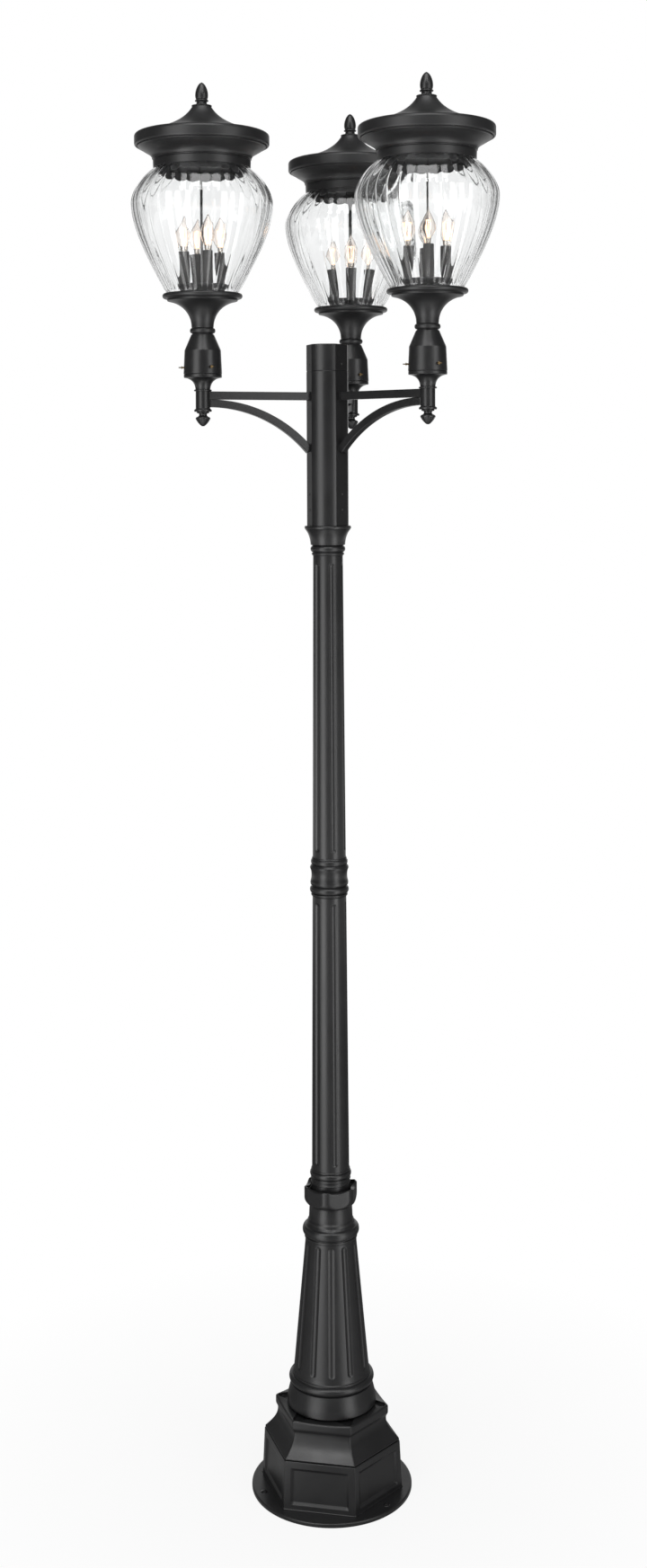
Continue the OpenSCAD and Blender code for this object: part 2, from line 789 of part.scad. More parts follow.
// Upright tube with its collars, and the cup, flange and tenon above it
module arm_tube() {
    flange_z = -seat_gap;
    flange_t = 7.5;
    bar_top = bar_w / 2 - fitter_lift;
    bell = curve([16.6, -32], [17.5, -22], [23, -10], [tenon_r + 3.4, flange_z - flange_t], 10);
    color("#272727")
        difference() {
            lathe(concat(
                [[tube_bore_r, tube_low_z], [tube_collar_r - 1, tube_low_z]],
                bead(tube_collar_r - 1, tube_low_z + 2.5, 1, 2.3, 6),
                [[tube_r + 0.8, tube_low_z + 6], [tube_r, tube_low_z + 7], [tube_r, bar_top + seat_gap]],
                bead(tube_collar_r - 1, bar_top + seat_gap + 1.8, 1, 1.8, 6),
                [[16.4, bar_top + 4]],
                bell,
                moved([[4, 1 - flange_t], [4, -1], [3, 0], [0, 0]], tenon_r, flange_z),
                moved([[0, -1], [-1, 0], [-4, 0]], tenon_r, tenon_h),
                [[tenon_r - 4, 0], [tube_bore_r, -18]]
            ));
            cross_hole(-tube_r - 1, 0, -fitter_lift - wire_drop(), wire_r + 1);
        }
}

module drop_finial() {
    shoulder_z = tube_low_z - seat_gap;
    spigot_r = tube_bore_r - thread_gap;
    color("#272727")
        translate([0, 0, shoulder_z])
            lathe(concat(
                [[0, -32]],
                curve([3, -31.6], [7, -29], [12, -24], [15.5, -17.5], 8),
                [[16.4, -16], [16.4, -13.6], [15, -12]],
                curve([12, -10.6], [8.5, -9], [8, -6], [9.5, -4], 6),
                [[14, -2.5], [14, 0], [spigot_r, 0], [spigot_r, 8 + seat_gap], [0, 8 + seat_gap]]
            ));
}

// Lantern, in heights above the fitter's foot

set_screw_z = 15;
set_screw_angle = -20;
set_screw_r = 2;
fitter_bore_r = tenon_r + 0.5;
fitter_r = fitter_bore_r + fitter_wall;

module fitter() {
    shoulder_r = fitter_r - 2.3;
    head_r = 25;
    hole_r = 6.5;
    color("#2b2b2b")
        difference() {
            lathe([
                [fitter_bore_r, 0], [fitter_r - 0.5, 0], [fitter_r, 0.8], [shoulder_r, fitter_h - 1],
                [shoulder_r - 0.6, fitter_h + 1], [head_r + 0.5, bell_z - 1.2], [head_r - 0.7, bell_z],
                [hole_r, bell_z], [hole_r, bell_z - 5], [head_r - 6, bell_z - 5],
                [fitter_bore_r - 2, fitter_h - 1], [fitter_bore_r, fitter_h - 4]
            ]);
            for (i = [0:2])
                rotate([0, 0, set_screw_angle + 120 * i])
                    cross_hole(fitter_bore_r - 4, fitter_r + 1, set_screw_z, set_screw_r + thread_gap);
        }
}

module set_screws() {
    color("#b08d4c")
        for (i = [0:2])
            rotate([0, 0, set_screw_angle + 120 * i])
                translate([0, 0, set_screw_z])
                    cross_screw(tenon_r + seat_gap, fitter_r + 7, set_screw_r, 4.7, 2);
}

bell_foot_r = 24.5;
bell_step_r = 74.5;

function bell_line() = curve(
    [bell_foot_r, bell_z + bell_bead_h], [bell_foot_r, bell_z + bell_bead_h + 24],
    [bell_foot_r + 15.5, ledge_z - 19.7], [bell_step_r, ledge_z - 12.7], 14
);

module gallery() {
    seat_r = glass_foot_r + 1.5;
    hole_r = 6.5;
    wall = 3;
    color("#242424")
        lathe(concat(
            [[hole_r, bell_z], [bell_foot_r - 2, bell_z], [bell_foot_r - 1.5, bell_z + 1.5]],
            bead(bell_foot_r - 1, bell_z + 8, 4.7, 6, 10),
            [[bell_foot_r - 0.5, bell_z + 14.5]],
            bell_line(),
            moved([[3, -12], [3.5, -11.2], [3.5, -7.4]], bell_step_r, ledge_z),
            bead(seat_r + 2, ledge_z - 1.3, 5, 5.6, 12),
            [[seat_r, ring_top_z], [seat_r, ledge_z], [hole_r, ledge_z], [hole_r, ledge_z - web_t]],
            [[bell_step_r, ledge_z - web_t]],
            reversed(inset(bell_line(), wall)),
            [[bell_foot_r - wall, bell_z + 4], [hole_r, bell_z + 4]]
        ));
}

// Centre rod from below the fitter's roof to the finial, with its lower nut
module rod() {
    nut_top = bell_z - 5 - seat_gap;
    color("#3a3a3a") {
        translate([0, 0, rod_foot_z]) cylinder(h = rod_top_z - rod_foot_z, r = rod_r);
        difference() {
            translate([0, 0, nut_top - 7]) cylinder(h = 7, r = 8, $fn = 6);
            translate([0, 0, nut_top - 8]) cylinder(h = 9, r = rod_r + thread_gap);
        }
    }
}

module lamp_pan() {
    drum_r = pan_r - 9;
    drum_h = 8;
    rim_h = 3;
    wall = 2.5;
    foot = ledge_z;
    bore_r = rod_r + spigot_gap;
    flare = curve(
        [drum_r, foot + drum_h], [drum_r + 0.5, foot + drum_h + 5],
        [pan_r - 5, pan_top_z - 7], [pan_r - 0.5, pan_top_z - 4], 6
    );
    color("#242424")
        lathe(concat(
            [[drum_r - wall, foot], [drum_r, foot]],
            flare,
            bead(pan_r - 1, pan_top_z - rim_h / 2, 1, rim_h / 2, 6),
            [[bore_r, pan_top_z], [bore_r, pan_top_z - rim_h], [pan_r - 6, pan_top_z - rim_h]],
            reversed(inset(flare, wall))
        ));
}

module round_candles(i) {
    for (k = [0:3])
        rotate([0, 0, candle_turns[i - 1] + 90 * k]) translate([candle_circle_r, 0, 0]) children();
}

module candle_sleeves(i) {
    color("#202020")
        round_candles(i)
            lathe([
                [candle_r - candle_wall, pan_top_z], [candle_r, pan_top_z], [candle_r, candle_top_z],
                [candle_r - candle_wall, candle_top_z]
            ]);
}

socket_bore_r = 6.8;

module sockets(i) {
    stem_r = 5;
    body_r = candle_r - candle_wall - seat_gap;
    color("#d8d2c4")
        round_candles(i)
            lathe([
                [0, pan_top_z], [stem_r, pan_top_z], [stem_r, socket_z], [body_r, socket_z],
                [body_r, candle_top_z - 2], [socket_bore_r, candle_top_z - 2],
                [socket_bore_r, bulb_foot_z - seat_gap], [0, bulb_foot_z - seat_gap]
            ]);
}

module bulbs(i) {
    base_r = socket_bore_r - seat_gap;
    belly = bulb_tip_z - 44;
    color("#f4e6c8")
        round_candles(i)
            lathe(concat(
                [[0, bulb_foot_z], [base_r, bulb_foot_z]],
                moved([[0, 8], [1.5, 12]], base_r, candle_top_z),
                curve(
                    [8.5, candle_top_z + 15], [13, candle_top_z + 21],
                    [bulb_r, belly - 9], [bulb_r, belly], 8
                ),
                curve(
                    [bulb_r, belly + 2], [bulb_r - 1, belly + 19],
                    [4.5, belly + 29], [1.5, bulb_tip_z - 1], 10
                ),
                [[0, bulb_tip_z]]
            ));
}

// Upper end of the glass's low curve, and the whole outer line of the glass
glass_shoulder_z = belly_z + glass_top_h;

function glass_line() = concat(
    [[glass_foot_r, glass_z]],
    curve(
        [glass_foot_r, glass_z + glass_foot_h], [glass_foot_r + 29, glass_z + glass_foot_h + 54],
        [glass_belly_r, belly_z - 62], [glass_belly_r, belly_z - 2], 18
    ),
    curve(
        [glass_belly_r, belly_z], [glass_belly_r, belly_z + 28],
        [glass_neck_r + 22, glass_shoulder_z - 11], [glass_neck_r, glass_shoulder_z], 12
    ),
    [[glass_neck_r, glass_top_z]]
);

module glass() {
    color("#dfe8ea", 0.3) lathe(concat(glass_line(), reversed(inset(glass_line(), glass_wall))));
}

// Lid of the lantern: neck band, cove, upright rim and a concave hat, with a plate that rests on the glass
module cap() {
    band_r = glass_neck_r + 3.6;
    bore_r = glass_neck_r + 1.2;
    cove = curve(
        [band_r + 2.4, cove_z], [band_r + 2.4, cove_z + 14],
        [band_r + 22, cove_z + 17], [cap_r - 2.4, cove_z + cap_cove_h], 10
    );
    hat = curve(
        [cap_r - 8, cap_top_z + 2], [60, cap_top_z + 16],
        [33, hat_top_z - 20], [hat_lip_r - 1.5, hat_top_z], 16
    );
    inner_r = cap_r - cap_wall - 0.6;
    hole_r = rod_r + 0.5;
    plate_hole_r = 12;
    color("#262626")
        lathe(concat(
            [[bore_r, cap_z]],
            moved([[-0.8, 0], [0, 1], [0.6, band_h - 3], [-1.6, band_h - 1.5]], band_r, cap_z),
            [[band_r - 1.6, cove_z]],
            cove,
            [[cap_r - 0.6, cap_rim_z - 1], [cap_r, cap_rim_z + 1]],
            [[cap_r, cap_top_z - 2.5], [cap_r - 1.8, cap_top_z]],
            hat,
            moved([[0, 0.6], [0, 2.2], [-3, 3]], hat_lip_r, hat_top_z),
            [[hole_r, hat_top_z + 3], [hole_r, hat_top_z - 1]],
            reversed(inset(hat, cap_wall)),
            [[inner_r, cap_top_z - 2], [inner_r, cap_rim_z + 1]],
            reversed(inset(cove, cap_wall)),
            [[bore_r - 2, cove_z], [bore_r - 2, cap_plate_z + cap_plate_t]],
            [[plate_hole_r, cap_plate_z + cap_plate_t], [plate_hole_r, cap_plate_z], [bore_r, cap_plate_z]]
        ));
}

module finial() {
    acorn_z = finial_z + 12;
    bore_r = rod_r + thread_gap;
    color("#242424")
        lathe(concat(
            [[bore_r, finial_z]],
            moved([[13.5, 0], [13.5, 1.5], [11.8, 3], [11.2, 6]], 0, finial_z),
            bead(12, finial_z + 9.5, 3.2, 2, 8),
            curve([12, acorn_z], [17.6, acorn_z + 8], [13.5, acorn_z + 24], [1.2, acorn_z + 38], 14),
            [[0, acorn_z + 38.4], [0, rod_top_z + 4], [bore_r, rod_top_z + 4]]
        ));
}

base_plate();
pedestal_box();
pedestal_cornice();
base_column();
crown_collar();
lower_shaft();
shaft_coupling();
upper_shaft();
capital();
hub();
hub_cap();
hub_screws();
hub_cap_screws();
supply_wires();
for (i = [1:arms]) {
    at_lantern(i) arm_bar();
    at_lantern(i) arm_brace();
    at_lantern(i) arm_tube();
    at_lantern(i) drop_finial();
    at_lantern(i) fitter();
    at_lantern(i) set_screws();
    at_lantern(i) gallery();
    at_lantern(i) rod();
    at_lantern(i) lamp_pan();
    at_lantern(i) candle_sleeves(i);
    at_lantern(i) sockets(i);
    at_lantern(i) bulbs(i);
    at_lantern(i) glass();
    at_lantern(i) cap();
    at_lantern(i) finial();
}
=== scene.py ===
"""Looks of the outdoor post light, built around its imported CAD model.

Sizes are in millimetres and become metres when a piece is made. The post's axis is +Z and arm 1 points along +X.
An outline is a list of (radius, height) points that runs from the bottom up on the outside of a piece.
"""
import math

import bmesh
import bpy
import numpy as np
from mathutils import Matrix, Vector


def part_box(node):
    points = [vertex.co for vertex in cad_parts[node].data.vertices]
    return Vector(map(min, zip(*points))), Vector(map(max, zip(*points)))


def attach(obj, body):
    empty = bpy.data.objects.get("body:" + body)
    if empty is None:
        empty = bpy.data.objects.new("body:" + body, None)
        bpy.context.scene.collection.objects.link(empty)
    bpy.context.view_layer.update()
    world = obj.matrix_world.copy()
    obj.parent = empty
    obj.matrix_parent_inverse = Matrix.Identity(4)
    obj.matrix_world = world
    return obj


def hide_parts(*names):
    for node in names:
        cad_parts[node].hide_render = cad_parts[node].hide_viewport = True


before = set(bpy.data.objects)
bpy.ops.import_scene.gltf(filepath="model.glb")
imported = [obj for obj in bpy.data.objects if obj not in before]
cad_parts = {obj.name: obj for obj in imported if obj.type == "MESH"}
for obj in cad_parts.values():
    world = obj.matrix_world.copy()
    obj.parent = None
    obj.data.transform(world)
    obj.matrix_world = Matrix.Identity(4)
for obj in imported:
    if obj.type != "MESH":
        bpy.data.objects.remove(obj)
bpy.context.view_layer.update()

MM = 0.001
TURN = 2 * math.pi
STEP = math.radians(60)
HALF_SIDE = math.tan(STEP / 2)
ARMS = (1, 2, 3)


# Places from the CAD model

def span(node):
    """Lowest and highest height of a CAD node, in millimetres."""
    low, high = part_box(node)
    return low.z / MM, high.z / MM


def middle(node):
    """Centre of a CAD node, in millimetres."""
    low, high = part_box(node)
    return (low + high) / 2 / MM


REACH = middle("glass_1").x
HEAD_Z = span("fitter_1")[0]


# Outlines

def cubic(a, b, c, d, n):
    """Cubic curve from a to d: (1-t)^3 a + 3 (1-t)^2 t b + 3 (1-t) t^2 c + t^3 d for t from 0 to 1."""
    t = np.linspace(0, 1, n + 1)[:, None]
    s = 1 - t
    a, b, c, d = (np.array(p, float) for p in (a, b, c, d))
    return s ** 3 * a + 3 * s * s * t * b + 3 * s * t * t * c + t ** 3 * d


def bead(r, z, out, h, n):
    """Half-round bead: radius r + out cos(a) and height z + h sin(a), for a from -90 to 90 degrees."""
    a = np.linspace(-math.pi / 2, math.pi / 2, n + 1)
    return np.column_stack([r + out * np.cos(a), z + h * np.sin(a)])


def round_edge(r, z, edge):
    """Quarter round that ends at height z: r - edge + edge cos(a) and z - edge + edge sin(a), for a to 90 degrees."""
    a = np.radians([0, 22, 45, 67, 90])
    return np.column_stack([r - edge + edge * np.cos(a), z - edge + edge * np.sin(a)])


def line(*parts):
    """One outline of several, end to end."""
    return np.vstack([np.atleast_2d(np.array(part, float)) for part in parts])


def moved(outline, r, z):
    """The outline moved out by r and up by z."""
    return np.array(outline, float) + (r, z)


def inset(outline, wall):
    """The outline moved to its left by wall: left is across the chord between a point's two neighbours."""
    ahead = np.vstack([outline[1:], outline[-1:]])
    behind = np.vstack([outline[:1], outline[:-1]])
    along = ahead - behind
    left = np.column_stack([-along[:, 1], along[:, 0]])
    return outline + wall * left / np.linalg.norm(left, axis=1)[:, None]


def eased(outline, radius, closed):
    """The outline with each corner of over 14 degrees turned into the quadratic curve that touches both its sides."""
    outline, steps, sharpest, share = np.array(outline, float), 3, 2.6, 0.45
    back = np.roll(outline, 1, axis=0) - outline
    ahead = np.roll(outline, -1, axis=0) - outline
    back_len = np.linalg.norm(back, axis=1) + 1e-9
    ahead_len = np.linalg.norm(ahead, axis=1) + 1e-9
    back, ahead = back / back_len[:, None], ahead / ahead_len[:, None]
    turn = math.pi - np.arccos(np.clip((back * ahead).sum(axis=1), -1, 1))
    corner = turn > math.radians(14)
    if not closed:
        corner[[0, -1]] = False
    reach = radius * np.tan(np.minimum(turn, sharpest) / 2)
    reach = np.minimum(reach, share * np.minimum(back_len, ahead_len))[:, None]
    t = np.linspace(0, 1, steps + 1)[None, :, None]
    start, end, peak = (outline + back * reach)[:, None], (outline + ahead * reach)[:, None], outline[:, None]
    arcs = (1 - t) ** 2 * start + 2 * (1 - t) * t * peak + t * t * end
    keep = np.zeros(arcs.shape[:2], bool)
    keep[:, 0] = True
    keep[corner] = True
    arcs[~corner] = peak[~corner]
    return arcs[keep]


# Surfaces: pairs of vertices and quads

def grid(points, rows_closed):
    """Quads between the neighbours of a grid of points. Its columns go round and join up, its rows where closed."""
    rows, cols = points.shape[:2]
    i = np.arange(rows if rows_closed else rows - 1)[:, None]
    j = np.arange(cols)[None, :]
    i1, j1 = (i + 1) % rows, (j + 1) % cols
    quads = np.stack([i * cols + j, i * cols + j1, i1 * cols + j1, i1 * cols + j], axis=2)
    return points.reshape(-1, 3), quads.reshape(-1, 4)


def polar(r, angle, z):
    """Grid of points from radii, angles and heights that may each be a column, a row or a grid."""
    r, angle, z = np.broadcast_arrays(r, angle, z)
    return np.stack([r * np.cos(angle), r * np.sin(angle), z], axis=2)


def ring_rows(pairs, angle):
    """Grids of radii and heights from (radius, height) pairs, each a number or one value for every angle."""
    return (np.vstack([np.broadcast_to(value, angle.shape) for value in column]) for column in zip(*pairs))


def lathe(outline, segments, ease=0.6, closed=True):
    """Surface of revolution: radius and height from the outline, angle from 0 to 360 degrees."""
    r, z = eased(outline, ease, closed).T[:, :, None]
    return grid(polar(r, np.arange(segments) * TURN / segments, z), closed)


def placed(surface, matrix):
    """The surface moved by a 4 x 4 matrix."""
    verts, quads = surface
    matrix = np.array(matrix)
    return verts @ matrix[:3, :3].T + matrix[:3, 3], quads


def lifted(surface, z):
    """The surface moved up by z."""
    return placed(surface, Matrix.Translation((0, 0, z)))


def turned(surface, degrees):
    """The surface turned about the Z axis."""
    return placed(surface, Matrix.Rotation(math.radians(degrees), 4, "Z"))


def joined(surfaces):
    """Several surfaces as one."""
    counts = np.cumsum([0] + [len(verts) for verts, _ in surfaces])
    return (np.vstack([verts for verts, _ in surfaces]),
            np.vstack([quads + count for (_, quads), count in zip(surfaces, counts)]))


def at_lantern(n):
    """From a lantern's own frame, with its origin at the fitter's foot, to the place at the end of arm n."""
    return Matrix.Rotation(math.radians(120 * (n - 1)), 4, "Z") @ Matrix.Translation((REACH, 0, HEAD_Z))


def piece(name, surface, material, body, slot, *nodes, even=True):
    """A new object of the surface in place of the CAD nodes, smooth, with doubled points at its poles merged.

    Where it is even, its flat faces shade flat up to their roundings.
    """
    verts, quads = surface
    mesh = bpy.data.meshes.new(name)
    mesh.vertices.add(len(verts))
    mesh.vertices.foreach_set("co", (verts * MM).ravel())
    mesh.loops.add(quads.size)
    mesh.loops.foreach_set("vertex_index", quads.ravel())
    mesh.polygons.add(len(quads))
    mesh.polygons.foreach_set("loop_start", np.arange(0, quads.size, 4))
    mesh.update(calc_edges=True)
    work = bmesh.new()
    work.from_mesh(mesh)
    bmesh.ops.remove_doubles(work, verts=work.verts, dist=1e-6)
    work.to_mesh(mesh)
    work.free()
    mesh.polygons.foreach_set("use_smooth", np.ones(len(mesh.polygons), bool))
    mesh.materials.append(material)
    obj = bpy.data.objects.new(name, mesh)
    bpy.context.scene.collection.objects.link(obj)
    if even:
        shade = obj.modifiers.new("even_shading", "WEIGHTED_NORMAL")
        shade.weight = 50
    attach(obj, body)
    if nodes:
        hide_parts(*nodes)


# Shader nodes

def feed(tree, node, inputs):
    """Links each named or numbered input of a node from a socket, or sets it to a plain value."""
    for key, value in inputs.items():
        if isinstance(value, bpy.types.NodeSocket):
            tree.links.new(value, node.inputs[key])
        else:
            node.inputs[key].default_value = value


def add_node(tree, kind, inputs=None, **settings):
    """A new shader node with these settings and inputs."""
    node = tree.nodes.new("ShaderNode" + kind)
    for key, value in settings.items():
        setattr(node, key, value)
    feed(tree, node, inputs or {})
    return node


def worked_out(tree, operation, *values):
    """Result of a math node."""
    return add_node(tree, "Math", dict(enumerate(values)), operation=operation).outputs["Value"]


def ranged(tree, value, from_min, from_max, to_min=0.0, to_max=1.0):
    """A value spread from one range to another, and held at its ends."""
    return add_node(tree, "MapRange", {"Value": value, "From Min": from_min, "From Max": from_max,
                                       "To Min": to_min, "To Max": to_max}).outputs["Result"]


def mixed(tree, share, first, second):
    """Shader that is the first where the share is 0, and the second where it is 1."""
    return add_node(tree, "MixShader", {"Fac": share, 1: first, 2: second}).outputs["Shader"]


def ray_kinds(tree, *names):
    """1 for a ray of any of these kinds, else 0."""
    path = add_node(tree, "LightPath")
    total = path.outputs[names[0]]
    for name in names[1:]:
        total = worked_out(tree, "MAXIMUM", total, path.outputs[name])
    return total


# Materials

def grain_group():
    """Shader group of a finish that varies: a fine grain for the height, and broad patches for colour and gloss."""
    group = bpy.data.node_groups.new("grain", "ShaderNodeTree")
    sockets = {"INPUT": {"Position": "Vector", "Grain": "Float", "Patch": "Float", "First": "Color",
                         "Second": "Color", "Low roughness": "Float", "High roughness": "Float"},
               "OUTPUT": {"Color": "Color", "Roughness": "Float", "Height": "Float"}}
    for side, kinds in sockets.items():
        for name, kind in kinds.items():
            group.interface.new_socket(name, in_out=side, socket_type="NodeSocket" + kind)
    given, out = group.nodes.new("NodeGroupInput").outputs, group.nodes.new("NodeGroupOutput")
    fine, broad = (
        add_node(group, "TexNoise", {"Vector": given["Position"], "Scale": given[scale], "Detail": detail,
                                     "Roughness": rough}).outputs["Fac"]
        for scale, detail, rough in (("Grain", 3, 0.6), ("Patch", 4, 0.55)))
    spread = ranged(group, broad, 0.35, 0.65)
    mix = add_node(group, "Mix", {"Factor": spread, "A": given["First"], "B": given["Second"]}, data_type="RGBA")
    gloss = ranged(group, spread, 0.0, 1.0, given["Low roughness"], given["High roughness"])
    feed(group, out, {"Color": mix.outputs["Result"], "Roughness": gloss, "Height": fine})
    return group


GRAIN = grain_group()


def finish(name, first, second, rough, grain, bump, patch=14, stretch=(1, 1, 1), **constants):
    """Procedural material: the grain group feeds colour, roughness and bump. Constants go on the shader itself."""
    material = bpy.data.materials.new(name)
    material.use_nodes = True
    tree = material.node_tree
    where = add_node(tree, "TexCoord").outputs["Object"]
    mapping = add_node(tree, "Mapping", {"Vector": where, "Scale": stretch})
    surface = add_node(tree, "Group", {
        "Position": mapping.outputs["Vector"], "Grain": grain, "Patch": patch, "First": (*first, 1),
        "Second": (*second, 1), "Low roughness": rough[0], "High roughness": rough[1]}, node_tree=GRAIN)
    height = add_node(tree, "Bump", {"Strength": bump, "Distance": 0.0004, "Height": surface.outputs["Height"]})
    shader = tree.nodes["Principled BSDF"]
    feed(tree, shader, {"Base Color": surface.outputs["Color"], "Roughness": surface.outputs["Roughness"],
                        "Normal": height.outputs["Normal"]})
    feed(tree, shader, {key.replace("_", " "): value for key, value in constants.items()})
    return material


def clear_glass(*look, **constants):
    """Glass: the finish with full transmission, which lets light through to what stands behind it."""
    material = finish(*look, Transmission_Weight=1.0, **constants)
    tree = material.node_tree
    through = add_node(tree, "BsdfTransparent").outputs["BSDF"]
    shader = tree.nodes["Principled BSDF"].outputs["BSDF"]
    feed(tree, tree.nodes["Material Output"], {
        "Surface": mixed(tree, ray_kinds(tree, "Is Shadow Ray"), shader, through)})
    return material


def glow():
    """Lit filament: near white where it faces the view, and warm towards its edges."""
    material = finish("filament_glow", (0.5, 0.3, 0.18), (0.6, 0.36, 0.2), (0.4, 0.5), 300, 0.05, 90,
                      Emission_Strength=1.5)
    tree = material.node_tree
    facing = add_node(tree, "LayerWeight", {"Blend": 0.4}).outputs["Facing"]
    ramp = add_node(tree, "ValToRGB", {"Fac": facing})
    near, far = ramp.color_ramp.elements
    near.color = (1.0, 0.9, 0.74, 1)
    far.color, far.position = (0.62, 0.27, 0.11, 1), 0.85
    feed(tree, tree.nodes["Principled BSDF"], {"Emission Color": ramp.outputs["Color"]})
    return material


CAST = finish("cast_black_coat", (0.011, 0.011, 0.0115), (0.014, 0.014, 0.0145), (0.3, 0.37), 1100, 0.2)
DRAWN = finish("drawn_black_coat", (0.011, 0.011, 0.0115), (0.0135, 0.0135, 0.014), (0.29, 0.34), 1500, 0.12)
SPUN = finish("spun_black_coat", (0.012, 0.012, 0.0125), (0.015, 0.015, 0.0155), (0.36, 0.43), 1300, 0.18)
CANDLE = finish("candle_black", (0.014, 0.0135, 0.013), (0.026, 0.025, 0.024), (0.45, 0.6), 300, 0.2, 60,
                (1, 1, 0.08))
CERAMIC = finish("socket_ceramic", (0.72, 0.69, 0.62), (0.8, 0.77, 0.7), (0.45, 0.6), 500, 0.15, 60)
BRASS = finish("screw_brass", (0.13, 0.088, 0.042), (0.21, 0.15, 0.075), (0.34, 0.48), 900, 0.2, 120,
               Metallic=1.0)
STEEL = finish("screw_steel", (0.1, 0.1, 0.1), (0.2, 0.2, 0.2), (0.35, 0.5), 900, 0.2, 120, Metallic=1.0)
ROD = finish("rod_steel", (0.03, 0.03, 0.03), (0.06, 0.06, 0.06), (0.35, 0.5), 600, 0.2, 80, Metallic=1.0)
NICKEL = finish("bulb_nickel", (0.55, 0.5, 0.45), (0.75, 0.7, 0.64), (0.16, 0.3), 700, 0.15, 90, Metallic=1.0)
WIRE = finish("wire_sheath", (0.05, 0.05, 0.05), (0.08, 0.08, 0.08), (0.5, 0.65), 500, 0.2, 50)
GLASS = clear_glass("urn_glass", (0.985, 0.99, 0.99), (0.995, 1.0, 1.0), (0.0, 0.012), 45, 0.25, IOR=1.47)
# The bulb glass's faint warm tint is painted light: it stands for the glow of the lit bulbs, since the clear glass
# itself has no warm colour.
BULB = clear_glass("bulb_glass", (1.0, 0.955, 0.92), (1.0, 0.975, 0.955), (0.0, 0.01), 80, 0.05, IOR=1.45)
GLOW = glow()


# Shapes that several castings share

def soft_min(a, b, soft):
    """The smaller of two, rounded where they meet: min(a, b) - soft ln(1 + exp(-|a - b| / soft))."""
    return np.minimum(a, b) - soft * np.log1p(np.exp(-np.abs(a - b) / soft))


def arc_radius(half_chord, sag):
    """Radius of an arc: (half_chord^2 + sag^2) / (2 sag)."""
    return (half_chord ** 2 + sag ** 2) / 2 / sag


def near_side(angle, c, q):
    """Distance along a ray to the near side of a circle of radius q, or a large number beside it.

    It is c cos(f) - sqrt(q^2 - c^2 sin(f)^2), where f is the angle from the circle's middle, at distance c.
    """
    room = q ** 2 - (c * np.sin(angle)) ** 2
    return np.where(room > 0, c * np.cos(angle) - np.sqrt(np.maximum(room, 0)), 1e3)


def both_sides(half):
    """Places on both sides of a middle, from those of one side, which start at 0."""
    return np.concatenate([-half[:0:-1], half])


def from_middle(half, edge, gap):
    """Angles from the middle of a flute or flat: place 0.5 is its edge, and place 1 half way to the next one."""
    u = np.append(both_sides(half), 1.0)
    return np.where(np.abs(u) <= 0.5, 2 * u * edge, np.sign(u) * (edge + (gap - edge) * (2 * np.abs(u) - 1)))


# Fluted bodies of the post

FLUTE_DEPTH = 3
FINE_EDGE = 0.22


def fluted(outline, first_row, last_row, count, first_turn, half_w, z0, z1):
    """Body of revolution with round-ended flutes in the rows from first_row to last_row.

    The radius is the soft minimum of the outline's radius and of the near side of a cutting cylinder, which
    shrinks to a sphere's beyond the flute's two ends. Columns follow the flutes' edges as the body tapers.
    """
    r, z = outline.T[:, :, None]
    half = np.array([0, 0.12, 0.26, 0.37, 0.44, 0.48, 0.5, 0.52, 0.56, 0.63, 0.73, 0.86])
    gap, q = math.pi / count, arc_radius(half_w, FLUTE_DEPTH)
    local = from_middle(half, half_w / r, gap)
    middles = math.radians(first_turn) + np.arange(count)[:, None] * 2 * gap
    angle = (local[:, None, :] + middles).reshape(len(r), -1)
    beyond = np.maximum(0, np.maximum(z0 - z, z - z1))
    shrunk = np.sqrt(np.maximum(q * q - beyond ** 2, 0))
    cut = near_side(np.tile(local, (1, count)), r + q - FLUTE_DEPTH, shrunk)
    rows = np.arange(len(r))[:, None]
    mine = (rows >= first_row) & (rows <= last_row)
    return grid(polar(np.where(mine, soft_min(r, cut, FINE_EDGE), r), angle, z), True)


def flute_heights(low, high, z0, z1, radius):
    """Heights of the rows of a fluted length: close together where a cutter of this radius runs out at its ends."""
    ends = np.linspace(-1.05, 0.1, 16) * radius
    rows = np.concatenate([[low], z0 + ends, np.linspace(z0, z1, 14)[1:-1], z1 - ends[::-1], [high]])
    return np.unique(rows.clip(low, high))


def fluted_body(below, cone, above, inner, count, first_turn, half_w, ends):
    """Closed body: mouldings below, a fluted cone (radius, height, radius, height), mouldings above, and the bore."""
    r0, z0, r1, z1 = cone
    ease = 0.5
    heights = flute_heights(z0, z1, *ends, arc_radius(half_w, FLUTE_DEPTH))
    fluted_rows = np.column_stack([np.interp(heights, [z0, z1], [r0, r1]), heights])
    low = eased(line(below, [r0, z0]), ease, False)[:-1]
    high = eased(line([r1, z1], above), ease, False)[1:]
    outline = line(low, fluted_rows, high, inner)
    return fluted(outline, len(low), len(low) + len(heights) - 1, count, first_turn, half_w, *ends)


# Hexagonal bodies of the pedestal and collar

def hexagon_columns(half, arc_steps):
    """Columns round a hexagon: the turn of the face, the place from -1 to 1 along it, and the angle on its corner."""
    places = both_sides(half)
    arc = np.linspace(0, STEP, arc_steps + 1)[1:-1]
    s = np.concatenate([places, np.ones(len(arc))])
    bend = np.concatenate([np.zeros(len(places)), arc])
    turn = np.repeat(np.arange(6) * STEP, len(s))
    return turn, np.tile(s, 6), np.tile(bend, 6)


def hexagon_rows(outline, corner, columns, sunk=0.0):
    """Grid of points on hexagons with round corners: a row for each (distance of its faces, height)."""
    turn, s, bend = columns
    flat, z = np.array(outline, float).T[:, :, None]
    out = (flat - corner) + corner * np.cos(bend) - sunk
    side = s * (flat - corner) * HALF_SIDE + corner * np.sin(bend)
    x = out * np.cos(turn) - side * np.sin(turn)
    y = out * np.sin(turn) + side * np.cos(turn)
    return np.stack([x, y, z + 0 * x], axis=2)


